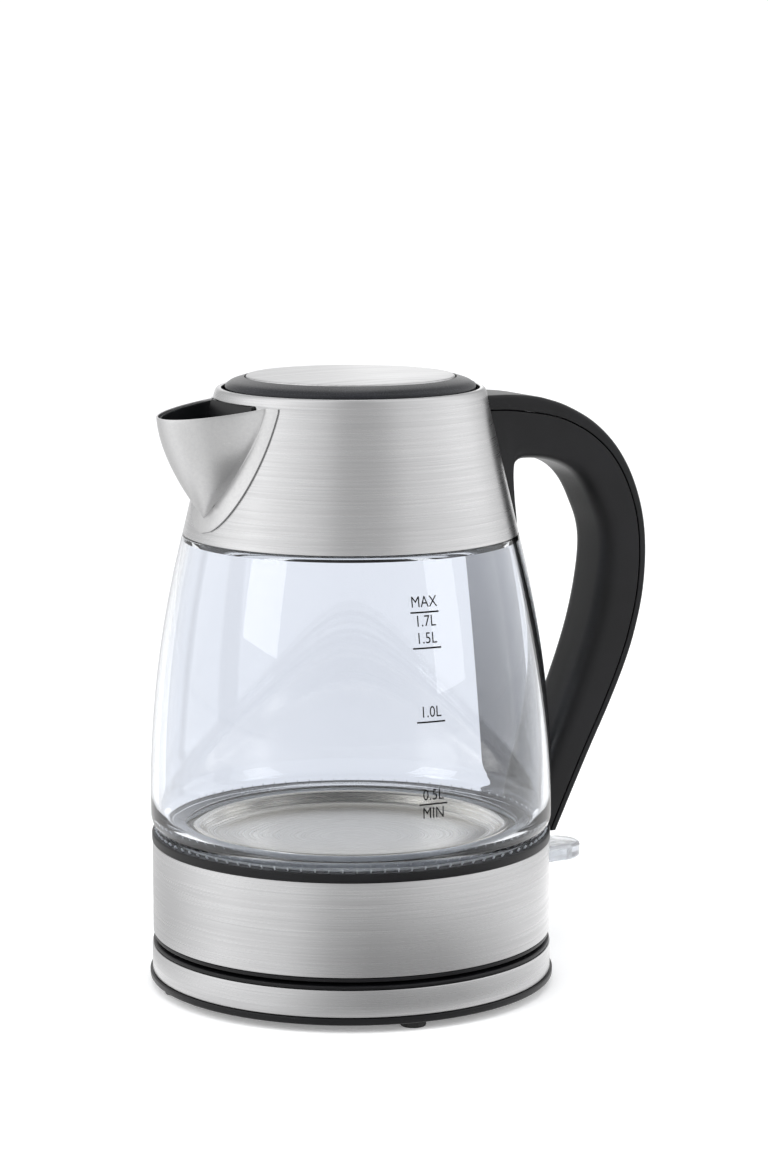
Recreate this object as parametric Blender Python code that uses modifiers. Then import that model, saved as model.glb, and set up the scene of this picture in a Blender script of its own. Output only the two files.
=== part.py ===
"""Electric glass kettle with a steel collar and spout, standing on its round power base.

The kettle's axis is Z. The handle is on the +X side, the spout on the -X side, and the feet
rest at Z = 0. Every size below is in millimetres; the mesh helpers turn it into metres.
"""
import math

import bmesh
import bpy
from mathutils import Matrix, Vector

for old in list(bpy.data.objects):
    bpy.data.objects.remove(old, do_unlink=True)

MM = 0.001

# Fits
GAP = 0.3               # between two pieces that touch
SLIDE_GAP = 0.5         # round a piece that slides or turns
SIDES = 36              # flats round every ring on the kettle's axis
RING_SIDES = 24         # flats round smaller rings
SMALL_SIDES = 16
SCREW_SIDES = 12

# Whole body
BODY_RADIUS = 79.2      # widest place of the glass
GLASS_HEIGHT = 117.3    # from the glass foot to the shoulder under the collar
GLASS_ARC = 427.0       # radius of the glass wall seen from the side
GLASS_WALL = 3.0
WIDEST_ABOVE_FOOT = 11.0

# Power base
FOOT_HEIGHT = 3.0
FOOT_RADIUS = 5.0
FOOT_INSET = 8.0        # foot centre inside the rim
RIM_HEIGHT = 2.6
RIM_PROUD = 0.8         # rim outside the widest glass
PAN_FLOOR = 1.8
PAN_STEP = 1.5          # the middle of the underside stands this much lower
PAN_STEP_RADIUS = 45.0
PAN_WALL = 1.8
TOP_SKIRT = 2.0         # the cover reaches this far down inside the tray's wall
BAND_HEIGHT = 10.6
BAND_WALL = 0.7
LIP_HEIGHT = 1.4
PLATE = 2.0             # thickness of the flat plastic covers

# Connector between the base and the kettle
PLUG_RADIUS = 17.0
PLUG_HEIGHT = 12.5      # above the base's top
PLUG_SLOT_INNER = 9.0
PLUG_SLOT_OUTER = 12.2
PLUG_SLOT_DEPTH = 9.5
CONTACT_WALL = 0.6
EARTH_PIN_RADIUS = 2.2
EARTH_BORE_RADIUS = 3.9
SOCKET_WALL = 6.4
SOCKET_ROOF = 5.5

# Cord outlet in the back of the base (no cord is modelled)
OUTLET_WIDTH = 11.0
OUTLET_BORE = 3.0       # radius

# Kettle foot
SKIRT_HEIGHT = 36.6
SKIRT_INSET = 0.6       # steel skirt inside the widest glass
SKIRT_WALL = 0.7
RING_HEIGHT = 3.4
RING_INSET = 0.4
FLANGE_RADIUS = 74.0    # rim of the heating plate
PLATE_LIP = 62.5        # raised lip of the heating plate
PLATE_DISC = 57.0
PLATE_DEPTH = 6.2
PLATE_STEEL = 1.0
SPREADER_RADIUS = 48.0
SPREADER_THICK = 2.0
ELEMENT_CIRCLE = 38.0
ELEMENT_TUBE = 3.3
CONTROL_SIZE = (44.0, 38.0, 7.0)
BIMETAL_RADIUS = 9.0
BOSS_CIRCLE = 69.5
BOSS_RADIUS = 3.8
SCREW_HEAD = 2.8
SCREW_SHANK = 1.4
SCREW_LENGTH = 14.0

# Switch lever
LEVER_PIVOT_X = 71.0
LEVER_PIVOT_RISE = 20.0     # above the bottom of the skirt
LEVER_REACH = 27.4          # outside the skirt
LEVER_HALF_WIDTH = 10.0
LEVER_THICK = 6.6
LEVER_PIN = 1.5

# Collar, liner and spout
COLLAR_HEIGHT = 56.7
COLLAR_TOP_RADIUS = 53.4
COLLAR_SHOULDER = 5.3       # height of the rounded top edge
COLLAR_STEEL = 0.8
MOUTH_RADIUS = 50.3         # inner edge of the collar's top
LINER_WALL = 2.0
NECK_HEIGHT = 11.0
SEAL_THICK = 1.9
THROAT_RADIUS = 45.9
THROAT_DEPTH = 11.5
SPOUT_REACH = 82.2
SPOUT_HALF_WIDTH = 22.0
SPOUT_FLANGE_HALF = 27.4
SPOUT_BOTTOM = 9.4          # lowest point of the fold above the collar's bottom edge
FLANGE_DROP = 6.0           # the flange goes this far below the fold
SPOUT_STEEL = 0.8
SPOUT_TIP_DROP = 8.5        # tip of the lip below the collar's top
SPOUT_TOP_DROP = 4.2        # lip where it meets the collar
SPOUT_LINER = 1.0
WINDOW_HALF_WIDTH = 14.6
WINDOW_TOP_DROP = 8.6
WINDOW_HEIGHT = 31.0
FRAME_BORDER = 2.4
FRAME_THICK = 1.6
MESH_THICK = 0.5

# Lid
LID_RADIUS = 48.8
LID_EDGE_RISE = 0.6         # edge of the black ring above the collar's top
LID_DISC_RADIUS = 40.9
LID_DISC_RISE = 4.4         # edge of the steel disc above the collar's top
LID_CROWN = 1.1
LID_DISC_STEEL = 0.8
LID_PLUG_RADIUS = 44.0
LID_PLUG_WALL = 1.8
LID_PLUG_DEPTH = 10.7
LID_SEAL_PROUD = 1.0
LID_SEAL_HEIGHT = 1.6
HINGE_X = 43.5
HINGE_DROP = 0.4            # hinge axis below the collar's top
HINGE_PIN = 1.0
EAR_INNER = 15.0
EAR_OUTER = 19.0
EAR_RADIUS = 1.9

# Handle
HANDLE_WIDTH = 26.6
HANDLE_SOFT = 3.6
COVER_SOFT = 2.6
HEAD_DROP = 5.3             # top of the handle below the collar's top
TAIL_DROP = 5.5             # end of the handle below the top of the skirt
ROOT_DROP = 8.0             # foot of the handle's root below the collar's bottom
BUTTON_HALF_WIDTH = 6.5
BUTTON_PROUD = 0.9
BUTTON_THICK = 3.0
BUTTON_TRAVEL = 2.0
POCKET_DEPTH = 9.0
BAR_HALF_WIDTH = 3.0
BAR_THICK = 3.0
BAR_DROP = 8.4              # top of the latch bar below the collar's top
BAR_START = 46.9
BAR_END = 74.0

# Levels, from the table upwards
RIM_Z = FOOT_HEIGHT
BAND_Z = RIM_Z + RIM_HEIGHT + GAP / 2
BASE_LIP_Z = BAND_Z + BAND_HEIGHT + GAP / 2
BASE_TOP_Z = BASE_LIP_Z + LIP_HEIGHT + 0.6
FLOOR_Z = BASE_TOP_Z + GAP
FLOOR_LIP_Z = FLOOR_Z + 0.7
SKIRT_Z = FLOOR_LIP_Z + LIP_HEIGHT + GAP
SKIRT_TOP = SKIRT_Z + SKIRT_HEIGHT
RING_Z = SKIRT_TOP + GAP / 2
RING_TOP = RING_Z + RING_HEIGHT
FLANGE_Z = RING_Z + 1.2 + GAP
GLASS_SEAL_Z = FLANGE_Z + PLATE_STEEL + GAP
GLASS_Z = GLASS_SEAL_Z + 1.1 + GAP
SHOULDER_Z = GLASS_Z + GLASS_HEIGHT
WIDEST_Z = GLASS_Z + WIDEST_ABOVE_FOOT
COLLAR_Z = SHOULDER_Z + 0.5
COLLAR_TOP = COLLAR_Z + COLLAR_HEIGHT
NECK_TOP = SHOULDER_Z + NECK_HEIGHT
LINER_Z = NECK_TOP + SEAL_THICK + 2 * GAP
HINGE_Z = COLLAR_TOP - HINGE_DROP
PLATE_Z = FLANGE_Z + PLATE_STEEL + 1.9 - PLATE_DEPTH
LEVER_Z = SKIRT_Z + LEVER_PIVOT_RISE
PLUG_TOP = BASE_TOP_Z + PLUG_HEIGHT
SOCKET_ROOF_Z = PLUG_TOP + 1.2
SOCKET_TOP = SOCKET_ROOF_Z + SOCKET_ROOF
TAIL_Z = SKIRT_TOP - TAIL_DROP
HEAD_Z = COLLAR_TOP - HEAD_DROP
BAR_TOP = COLLAR_TOP - BAR_DROP
LID_UNDER = COLLAR_TOP - 1.8
LID_LOW = LID_UNDER - LID_PLUG_DEPTH

# Radii that follow the body
RIM_RADIUS = BODY_RADIUS + RIM_PROUD
BAND_RADIUS = BODY_RADIUS - 0.2
SKIRT_RADIUS = BODY_RADIUS - SKIRT_INSET
RING_RADIUS = BODY_RADIUS - RING_INSET
FOOT_CIRCLE = RIM_RADIUS - FOOT_INSET
SOCKET_OUTER = PLUG_RADIUS + SLIDE_GAP + SOCKET_WALL
PAN_INSIDE = BAND_RADIUS - BAND_WALL - GAP - PAN_WALL


def glass_radius(z):
    """Outside radius of the glass at a height: one long arc seen from the side."""
    rise = z - WIDEST_Z
    return BODY_RADIUS - GLASS_ARC + math.sqrt(GLASS_ARC ** 2 - rise ** 2)


COLLAR_RADIUS = glass_radius(SHOULDER_Z) - 0.1
CONE_TOP = COLLAR_TOP - COLLAR_SHOULDER


def collar_radius(z):
    """Outside radius of the collar's straight cone."""
    share = (z - COLLAR_Z) / (CONE_TOP - COLLAR_Z)
    return COLLAR_RADIUS + share * (COLLAR_TOP_RADIUS - COLLAR_RADIUS)


def body_radius(z):
    """Outside radius of skirt, glass or collar, whichever is at this height."""
    if z < RING_TOP:
        return SKIRT_RADIUS
    if z < COLLAR_Z:
        return glass_radius(z)
    return collar_radius(z)


# Collections and materials

parts = bpy.data.collections.new("electric_kettle")
cutters = bpy.data.collections.new("cutters")
bpy.context.scene.collection.children.link(parts)
bpy.context.scene.collection.children.link(cutters)


def finish(name, colour, roughness, metallic=0.0, transmission=0.0):
    material = bpy.data.materials.new(name)
    material.use_nodes = True
    shader = material.node_tree.nodes["Principled BSDF"]
    shader.inputs["Base Color"].default_value = (*colour, 1.0)
    shader.inputs["Roughness"].default_value = roughness
    shader.inputs["Metallic"].default_value = metallic
    shader.inputs["Transmission Weight"].default_value = transmission
    material.diffuse_color = (*colour, 1.0)
    return material


FINISHES = {
    "brushed_steel": ((0.56, 0.56, 0.56), 0.32, 1.0, 0.0),
    "satin_steel": ((0.42, 0.42, 0.43), 0.38, 1.0, 0.0),
    "polished_steel": ((0.62, 0.62, 0.62), 0.2, 1.0, 0.0),
    "black_plastic": ((0.012, 0.012, 0.014), 0.4, 0.0, 0.0),
    "grey_plastic": ((0.03, 0.03, 0.034), 0.45, 0.0, 0.0),
    "clear_plastic": ((0.9, 0.92, 0.95), 0.12, 0.0, 0.9),
    "clear_glass": ((0.93, 0.95, 0.98), 0.02, 0.0, 1.0),
    "silicone": ((0.55, 0.56, 0.58), 0.6, 0.0, 0.0),
    "rubber": ((0.015, 0.015, 0.015), 0.8, 0.0, 0.0),
    "brass": ((0.6, 0.42, 0.16), 0.3, 1.0, 0.0),
    "copper": ((0.62, 0.3, 0.18), 0.35, 1.0, 0.0),
    "aluminium": ((0.5, 0.5, 0.52), 0.4, 1.0, 0.0),
}


def dress(thing, finish_name):
    """Give a sub-part a material of its own."""
    colour, roughness, metallic, transmission = FINISHES[finish_name]
    name = thing.name + "_" + finish_name
    thing.data.materials.append(finish(name, colour, roughness, metallic, transmission))


# Mesh helpers

def add_mesh(name, mesh, finish_name=None):
    """Put a mesh in the scene as a sub-part, or as a hidden cutter when it has no finish."""
    thing = bpy.data.objects.new(name, mesh)
    if finish_name:
        parts.objects.link(thing)
        dress(thing, finish_name)
    else:
        cutters.objects.link(thing)
        thing.display_type = "WIRE"
        thing.hide_render = True
    return thing


def mesh_from(bm, name):
    bmesh.ops.recalc_face_normals(bm, faces=bm.faces[:])
    mesh = bpy.data.meshes.new(name)
    bm.to_mesh(mesh)
    bm.free()
    return mesh


def turned(name, outline, finish_name=None, sides=SIDES):
    """Turn an outline of (radius, height) about Z; it runs down its outer side.

    An outline that starts and ends on the axis is a solid; any other is closed into a ring.
    """
    mesh = bpy.data.meshes.new(name)
    corners = [(radius * MM, 0.0, height * MM) for radius, height in outline]
    edges = [(index, index + 1) for index in range(len(corners) - 1)]
    if outline[0][0] > 0.0:
        edges.append((len(corners) - 1, 0))
    mesh.from_pydata(corners, edges, [])
    thing = add_mesh(name, mesh, finish_name)
    screw = thing.modifiers.new("turn", "SCREW")
    screw.steps = sides
    screw.render_steps = sides
    screw.use_merge_vertices = True
    screw.merge_threshold = 0.00001
    screw.use_smooth_shade = False
    return thing


def block(name, low, high, finish_name=None, soft=0.0):
    """A box between two corners, with rounded edges if soft is given."""
    bm = bmesh.new()
    size = Vector(high) - Vector(low)
    middle = (Vector(high) + Vector(low)) / 2
    place = Matrix.Translation(middle * MM) @ Matrix.Diagonal((*(size * MM), 1.0))
    bmesh.ops.create_cube(bm, size=1.0, matrix=place)
    thing = add_mesh(name, mesh_from(bm, name), finish_name)
    if soft:
        soften(thing, soft)
    return thing


def rod(name, start, end, radius, finish_name=None, sides=SMALL_SIDES):
    """A round rod between two points."""
    bm = bmesh.new()
    line = (Vector(end) - Vector(start)) * MM
    turn = line.to_track_quat("Z", "Y").to_matrix().to_4x4()
    place = Matrix.Translation(Vector(start) * MM + line / 2) @ turn
    bmesh.ops.create_cone(bm, cap_ends=True, segments=sides, radius1=radius * MM, radius2=radius * MM,
                          depth=line.length, matrix=place)
    return add_mesh(name, mesh_from(bm, name), finish_name)


def soften(thing, width, by_weight=False):
    bevel = thing.modifiers.new("soft_edges", "BEVEL")
    bevel.width = width * MM
    bevel.segments = 2
    bevel.limit_method = "WEIGHT" if by_weight else "ANGLE"
    bevel.use_clamp_overlap = True
    return bevel


def slab(name, outline, place, thickness, finish_name=None, soft_run=None):
    """Extrude a flat outline both ways from its plane.

    place turns an outline point (u, v) and a height w into (x, y, z) in millimetres.
    Edges along the outline's soft_run, a range of its points, are marked to be rounded.
    """
    bm = bmesh.new()
    rims = []
    for side in (-0.5, 0.5):
        rims.append([bm.verts.new(Vector(place(u, v, side * thickness)) * MM) for u, v in outline])
    bm.faces.new(rims[0])
    bm.faces.new(rims[1])
    count = len(outline)
    for index in range(count):
        after = (index + 1) % count
        bm.faces.new((rims[0][index], rims[0][after], rims[1][after], rims[1][index]))
    if soft_run:
        weight = bm.edges.layers.float.new("bevel_weight_edge")
        for rim in rims:
            for index in list(soft_run)[:-1]:
                edge = bm.edges.get((rim[index], rim[index + 1]))
                edge[weight] = 1.0
    return add_mesh(name, mesh_from(bm, name), finish_name)


def boolean(thing, tool, operation="DIFFERENCE"):
    change = thing.modifiers.new(operation.lower() + "_" + tool.name, "BOOLEAN")
    change.operation = operation
    change.solver = "EXACT"
    change.object = tool


def carve(things, tool):
    for thing in things:
        boolean(thing, tool)


def smooth_line(knots, steps):
    """A smooth line through its knots (Catmull-Rom), with steps points between two knots."""
    ends = [knots[0] * 2 - knots[1]] + list(knots) + [knots[-1] * 2 - knots[-2]]
    line = []
    for a, b, c, d in zip(ends, ends[1:], ends[2:], ends[3:]):
        for step in range(steps):
            t = step / steps
            line.append(0.5 * (2 * b + (c - a) * t + (2 * a - 5 * b + 4 * c - d) * t ** 2
                               + (3 * b - a - 3 * c + d) * t ** 3))
    line.append(knots[-1])
    return line


def wire(name, route, radius, finish_name, roundness=2):
    """A round wire along a route, made a mesh with its ends closed."""
    curve = bpy.data.curves.new(name + "_route", "CURVE")
    curve.dimensions = "3D"
    curve.bevel_depth = radius * MM
    curve.bevel_resolution = roundness
    curve.use_fill_caps = True
    spline = curve.splines.new("POLY")
    spline.points.add(len(route) - 1)
    for point, spot in zip(spline.points, route):
        point.co = (*(Vector(spot) * MM), 1.0)
    guide = bpy.data.objects.new(name + "_route", curve)
    bpy.context.scene.collection.objects.link(guide)
    shape = guide.evaluated_get(bpy.context.evaluated_depsgraph_get())
    mesh = bpy.data.meshes.new_from_object(shape)
    bpy.data.objects.remove(guide, do_unlink=True)
    bm = bmesh.new()
    bm.from_mesh(mesh)
    bmesh.ops.remove_doubles(bm, verts=bm.verts[:], dist=0.00001)
    mesh.materials.clear()
    bmesh.ops.recalc_face_normals(bm, faces=bm.faces[:])
    bm.to_mesh(mesh)
    bm.free()
    return add_mesh(name, mesh, finish_name)


def hang_on(name, at, things):
    """Parent moving pieces to an empty on their joint's axis, without moving them."""
    axis = bpy.data.objects.new(name, None)
    axis.location = Vector(at) * MM
    axis.empty_display_size = 0.01
    parts.objects.link(axis)
    for thing in things:
        thing.parent = axis
        thing.matrix_parent_inverse = Matrix.Translation(-Vector(at) * MM)


def around(radius, degrees, height):
    angle = math.radians(degrees)
    return (radius * math.cos(angle), radius * math.sin(angle), height)


# Power base

def base_pan():
    """Black tray: its rim shows below the steel band."""
    wall = PAN_INSIDE + PAN_WALL
    wall_top = BASE_LIP_Z - GAP
    return turned("base_pan", [
        (0.0, RIM_Z + PAN_FLOOR), (PAN_INSIDE, RIM_Z + PAN_FLOOR), (PAN_INSIDE, wall_top), (wall, wall_top),
        (wall, RIM_Z + RIM_HEIGHT), (RIM_RADIUS, RIM_Z + RIM_HEIGHT), (RIM_RADIUS, RIM_Z + 0.5),
        (RIM_RADIUS - 0.5, RIM_Z), (PAN_STEP_RADIUS + PAN_STEP, RIM_Z),
        (PAN_STEP_RADIUS, RIM_Z - PAN_STEP), (0.0, RIM_Z - PAN_STEP)], "black_plastic")


def base_band():
    """Brushed steel strip round the base."""
    return turned("base_band", [
        (BAND_RADIUS, BAND_Z + BAND_HEIGHT), (BAND_RADIUS, BAND_Z),
        (BAND_RADIUS - BAND_WALL, BAND_Z), (BAND_RADIUS - BAND_WALL, BAND_Z + BAND_HEIGHT)], "brushed_steel")


def base_top():
    """Black cover of the base, with a lip over the steel band and a collar inside the tray."""
    inside = PAN_INSIDE - GAP
    lip = BAND_RADIUS - 0.4
    hole = PLUG_RADIUS + GAP
    return turned("base_top", [
        (lip - 3.0, BASE_TOP_Z), (lip, BASE_LIP_Z + LIP_HEIGHT), (lip, BASE_LIP_Z), (inside, BASE_LIP_Z),
        (inside, BASE_LIP_Z - TOP_SKIRT), (inside - 1.4, BASE_LIP_Z - TOP_SKIRT), (inside - 1.4, BASE_LIP_Z),
        (hole, BASE_LIP_Z), (hole, BASE_TOP_Z)], "black_plastic")


def base_plug():
    """Round power plug in the middle of the base, with a ring slot and an earth bore."""
    flange = BASE_LIP_Z - GAP
    low = RIM_Z + PAN_FLOOR + GAP
    slot = PLUG_TOP - PLUG_SLOT_DEPTH
    return turned("base_plug", [
        (PLUG_RADIUS - 1.0, PLUG_TOP), (PLUG_RADIUS, PLUG_TOP - 1.0), (PLUG_RADIUS, flange),
        (PLUG_RADIUS + 4.0, flange), (PLUG_RADIUS + 4.0, low), (EARTH_BORE_RADIUS, low),
        (EARTH_BORE_RADIUS, PLUG_TOP), (PLUG_SLOT_INNER, PLUG_TOP), (PLUG_SLOT_INNER, slot),
        (PLUG_SLOT_OUTER, slot), (PLUG_SLOT_OUTER, PLUG_TOP)], "black_plastic", sides=RING_SIDES)


def ring(name, inner, outer, low, high, finish_name, sides=RING_SIDES):
    return turned(name, [(outer, high), (outer, low), (inner, low), (inner, high)], finish_name, sides)


def base_contacts():
    """Two ring contacts in the plug's slot and the earth pin in its bore."""
    low = PLUG_TOP - PLUG_SLOT_DEPTH + GAP
    high = PLUG_TOP - 1.5
    inner = PLUG_SLOT_INNER + GAP
    outer = PLUG_SLOT_OUTER - GAP
    ring("neutral_contact_ring", inner, inner + CONTACT_WALL, low, high, "copper")
    ring("live_contact_ring", outer - CONTACT_WALL, outer, low, high, "copper")
    pin_low = RIM_Z + PAN_FLOOR + GAP
    pin_top = PLUG_TOP - 1.0
    turned("earth_pin", [(0.0, pin_top), (EARTH_PIN_RADIUS, pin_top), (EARTH_PIN_RADIUS, pin_low + 2.0),
                         (EARTH_BORE_RADIUS - GAP, pin_low + 2.0), (EARTH_BORE_RADIUS - GAP, pin_low),
                         (0.0, pin_low)], "brass", sides=SMALL_SIDES)


def cord_outlet(pan, band):
    """Opening at the back of the base with the bush that a cord would leave through."""
    low = RIM_Z + RIM_HEIGHT + GAP
    high = BASE_LIP_Z - TOP_SKIRT - GAP
    half = OUTLET_WIDTH / 2
    opening = block("outlet_opening", (-half - GAP, PAN_INSIDE - 4.0, low),
                    (half + GAP, RIM_RADIUS + 4.0, high))
    carve([pan, band], opening)
    bush = block("cord_bush", (-half, PAN_INSIDE - 2.0, low + GAP), (half, BAND_RADIUS + 0.4, high - GAP),
                 "black_plastic")
    middle = (low + high) / 2
    bore = rod("outlet_bore", (0, PAN_INSIDE - 6.0, middle), (0, RIM_RADIUS + 6.0, middle), OUTLET_BORE)
    carve([bush], bore)


def feet():
    """Four rubber feet under the rim."""
    for number, degrees in enumerate((80.0, 170.0, 260.0, 350.0), start=1):
        x, y, _ = around(FOOT_CIRCLE, degrees, 0.0)
        rod("foot_%d" % number, (x, y, 0.0), (x, y, RIM_Z - GAP), FOOT_RADIUS, "rubber")


def base_screws(pan):
    """Three screws up through the underside; their heads sit in round recesses."""
    for number, degrees in enumerate((30.0, 150.0, 270.0), start=1):
        x, y, _ = around(PAN_STEP_RADIUS + 12.0, degrees, 0.0)
        hole = rod("base_screw_hole_%d" % number, (x, y, 0.0), (x, y, RIM_Z + PAN_FLOOR + 1.0),
                   SCREW_HEAD + GAP, sides=SCREW_SIDES)
        carve([pan], hole)
        turned_screw("base_screw_%d" % number, (x, y), RIM_Z + GAP, BASE_LIP_Z - GAP)


def turned_screw(name, at, low, high):
    """A pan-head screw standing on its head."""
    x, y = at
    head = rod(name, (x, y, low), (x, y, low + 1.5), SCREW_HEAD, "polished_steel", SCREW_SIDES)
    shank = rod(name + "_shank", (x, y, low + 1.0), (x, y, high), SCREW_SHANK, sides=SCREW_SIDES)
    boolean(head, shank, "UNION")
    return head


# Connector in the kettle

def connector_socket():
    """Round socket over the base's plug."""
    inner = PLUG_RADIUS + SLIDE_GAP + 0.4
    turned("connector_socket", [
        (0.0, SOCKET_TOP), (SOCKET_OUTER, SOCKET_TOP), (SOCKET_OUTER, FLOOR_Z + GAP),
        (inner + 1.5, FLOOR_Z + GAP), (inner, FLOOR_Z + GAP + 1.5), (inner, SOCKET_ROOF_Z),
        (0.0, SOCKET_ROOF_Z)], "black_plastic", sides=RING_SIDES)
    blade_inner = PLUG_SLOT_INNER + GAP + CONTACT_WALL + 0.2
    blade_outer = PLUG_SLOT_OUTER - GAP - CONTACT_WALL - 0.2
    ring("socket_power_blade", blade_inner, blade_outer, PLUG_TOP - 7.0, SOCKET_ROOF_Z - GAP, "copper")
    ring("socket_earth_sleeve", EARTH_PIN_RADIUS + 0.4, EARTH_BORE_RADIUS - 0.4,
         PLUG_TOP - 6.0, SOCKET_ROOF_Z - GAP, "brass", sides=SMALL_SIDES)


# Kettle foot

def kettle_floor():
    """Black floor of the kettle: the upper lip of the dark joint above the base."""
    hole = SOCKET_OUTER + SLIDE_GAP
    wall = SKIRT_RADIUS - SKIRT_WALL - GAP
    lip = SKIRT_RADIUS - 0.3
    return turned("kettle_floor", [
        (wall, FLOOR_LIP_Z + LIP_HEIGHT + 6.0), (wall, FLOOR_LIP_Z + LIP_HEIGHT), (lip, FLOOR_LIP_Z + LIP_HEIGHT),
        (lip, FLOOR_LIP_Z), (lip - 3.0, FLOOR_Z), (hole, FLOOR_Z), (hole, FLOOR_Z + PLATE),
        (wall - 1.4, FLOOR_Z + PLATE), (wall - 1.4, FLOOR_LIP_Z + LIP_HEIGHT + 6.0)], "black_plastic")


def skirt():
    """Brushed steel skirt between the floor and the glass."""
    return turned("skirt", [
        (SKIRT_RADIUS, SKIRT_TOP), (SKIRT_RADIUS, SKIRT_Z), (SKIRT_RADIUS - SKIRT_WALL, SKIRT_Z),
        (SKIRT_RADIUS - SKIRT_WALL, SKIRT_TOP)], "brushed_steel")


def skirt_ring():
    """Black ring that holds the glass and the heating plate, with three screw bosses."""
    ledge = FLANGE_RADIUS + GAP
    thing = turned("skirt_ring", [
        (RING_RADIUS - 0.4, RING_TOP), (RING_RADIUS, RING_TOP - 0.4), (RING_RADIUS, RING_Z),
        (BOSS_CIRCLE - BOSS_RADIUS, RING_Z), (BOSS_CIRCLE - BOSS_RADIUS, RING_Z + 1.2),
        (ledge, RING_Z + 1.2), (ledge, RING_TOP)], "black_plastic")
    for number, degrees in enumerate((60.0, 180.0, 300.0), start=1):
        x, y, _ = around(BOSS_CIRCLE, degrees, 0.0)
        low = FLOOR_Z + PLATE + GAP
        boss = rod("boss_%d" % number, (x, y, low), (x, y, RING_Z + 0.6), BOSS_RADIUS)
        boolean(thing, boss, "UNION")
        hole = rod("boss_hole_%d" % number, (x, y, low - 1.0), (x, y, low + SCREW_LENGTH + 1.0),
                   SCREW_SHANK + GAP, sides=SCREW_SIDES)
        boolean(thing, hole)
    return thing


def floor_screws(floor):
    """Three screws from below into the bosses."""
    for number, degrees in enumerate((60.0, 180.0, 300.0), start=1):
        x, y, _ = around(BOSS_CIRCLE, degrees, 0.0)
        hole = rod("floor_screw_hole_%d" % number, (x, y, FLOOR_Z - 1.0), (x, y, FLOOR_Z + PLATE + 1.0),
                   SCREW_HEAD + GAP, sides=SCREW_SIDES)
        carve([floor], hole)
        turned_screw("floor_screw_%d" % number, (x, y), FLOOR_Z + 0.4, FLOOR_Z + PLATE + SCREW_LENGTH)


def heating_plate():
    """Steel floor of the vessel: a shallow dish with a raised lip and a clamped rim."""
    lip_top = FLANGE_Z + PLATE_STEEL + 1.9
    steel = PLATE_STEEL
    turned("heating_plate", [
        (0.0, PLATE_Z + steel), (PLATE_DISC, PLATE_Z + steel), (PLATE_DISC + 3.0, lip_top), (PLATE_LIP, lip_top),
        (PLATE_LIP + 1.6, FLANGE_Z + steel), (FLANGE_RADIUS, FLANGE_Z + steel), (FLANGE_RADIUS, FLANGE_Z),
        (PLATE_LIP + 1.0, FLANGE_Z), (PLATE_LIP - 0.6, lip_top - steel), (PLATE_DISC + 3.7, lip_top - steel),
        (PLATE_DISC + 0.8, PLATE_Z), (0.0, PLATE_Z)], "polished_steel")


def heater():
    """Aluminium spreader, bent heating tube, control and its snap disc under the plate."""
    spreader_z = PLATE_Z - GAP - SPREADER_THICK
    turned("heat_spreader", [(0.0, spreader_z + SPREADER_THICK), (SPREADER_RADIUS, spreader_z + SPREADER_THICK),
                             (SPREADER_RADIUS, spreader_z), (0.0, spreader_z)], "aluminium")
    tube_z = spreader_z - GAP - ELEMENT_TUBE
    route = [around(ELEMENT_CIRCLE, degrees, tube_z) for degrees in range(30, 331, 12)]
    wire("heating_element", route, ELEMENT_TUBE, "polished_steel")
    length, width, height = CONTROL_SIZE
    low = SOCKET_TOP + SLIDE_GAP
    block("thermostat_control", (-length / 2, -width / 2, low), (length / 2, width / 2, low + height),
          "black_plastic", soft=1.5)
    disc_z = low + height + GAP
    turned("bimetal_disc", [(0.0, disc_z + 1.1), (BIMETAL_RADIUS, disc_z + 0.6), (BIMETAL_RADIUS, disc_z),
                            (0.0, disc_z + 0.5)], "copper", sides=SMALL_SIDES)


def glass_vessel():
    """Clear glass body: a long arc, a thick rounded foot and a stepped neck under the collar."""
    steps = 6
    heights = [SHOULDER_Z - (SHOULDER_Z - GLASS_Z - 5.0) * step / steps for step in range(steps + 1)]
    neck_low = SHOULDER_Z + GAP
    neck = collar_radius(COLLAR_Z) - COLLAR_STEEL - 2.0
    neck_top = collar_radius(NECK_TOP) - COLLAR_STEEL - 0.8
    outside = [(neck_top, NECK_TOP), (neck, neck_low)]
    outside += [(glass_radius(height), height) for height in heights]
    foot = [(FLANGE_RADIUS + 4.0, GLASS_Z + 2.2), (FLANGE_RADIUS + 1.0, GLASS_Z),
            (FLANGE_RADIUS - 8.0, GLASS_Z), (FLANGE_RADIUS - 8.0, GLASS_Z + 2.6),
            (FLANGE_RADIUS - 1.5, GLASS_Z + 4.0)]
    inside = [(glass_radius(height) - GLASS_WALL, height) for height in reversed(heights[1:])]
    inside += [(neck - GLASS_WALL, SHOULDER_Z - 1.0), (neck_top - GLASS_WALL, NECK_TOP)]
    inside[0] = (inside[0][0], GLASS_Z + 8.0)
    return turned("glass_vessel", outside + foot + inside, "clear_glass")


def seals():
    """Silicone rings under the glass foot and on top of its neck."""
    ring("glass_seal", FLANGE_RADIUS - 8.0, FLANGE_RADIUS - 0.5, GLASS_SEAL_Z, GLASS_SEAL_Z + 1.1,
         "silicone", SIDES)
    low = NECK_TOP + GAP
    high = low + SEAL_THICK
    outer = collar_radius(high) - COLLAR_STEEL - 2 * GAP
    ring("neck_seal", outer - 2.4, outer, low, high, "silicone", SIDES)


# Switch lever

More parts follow.
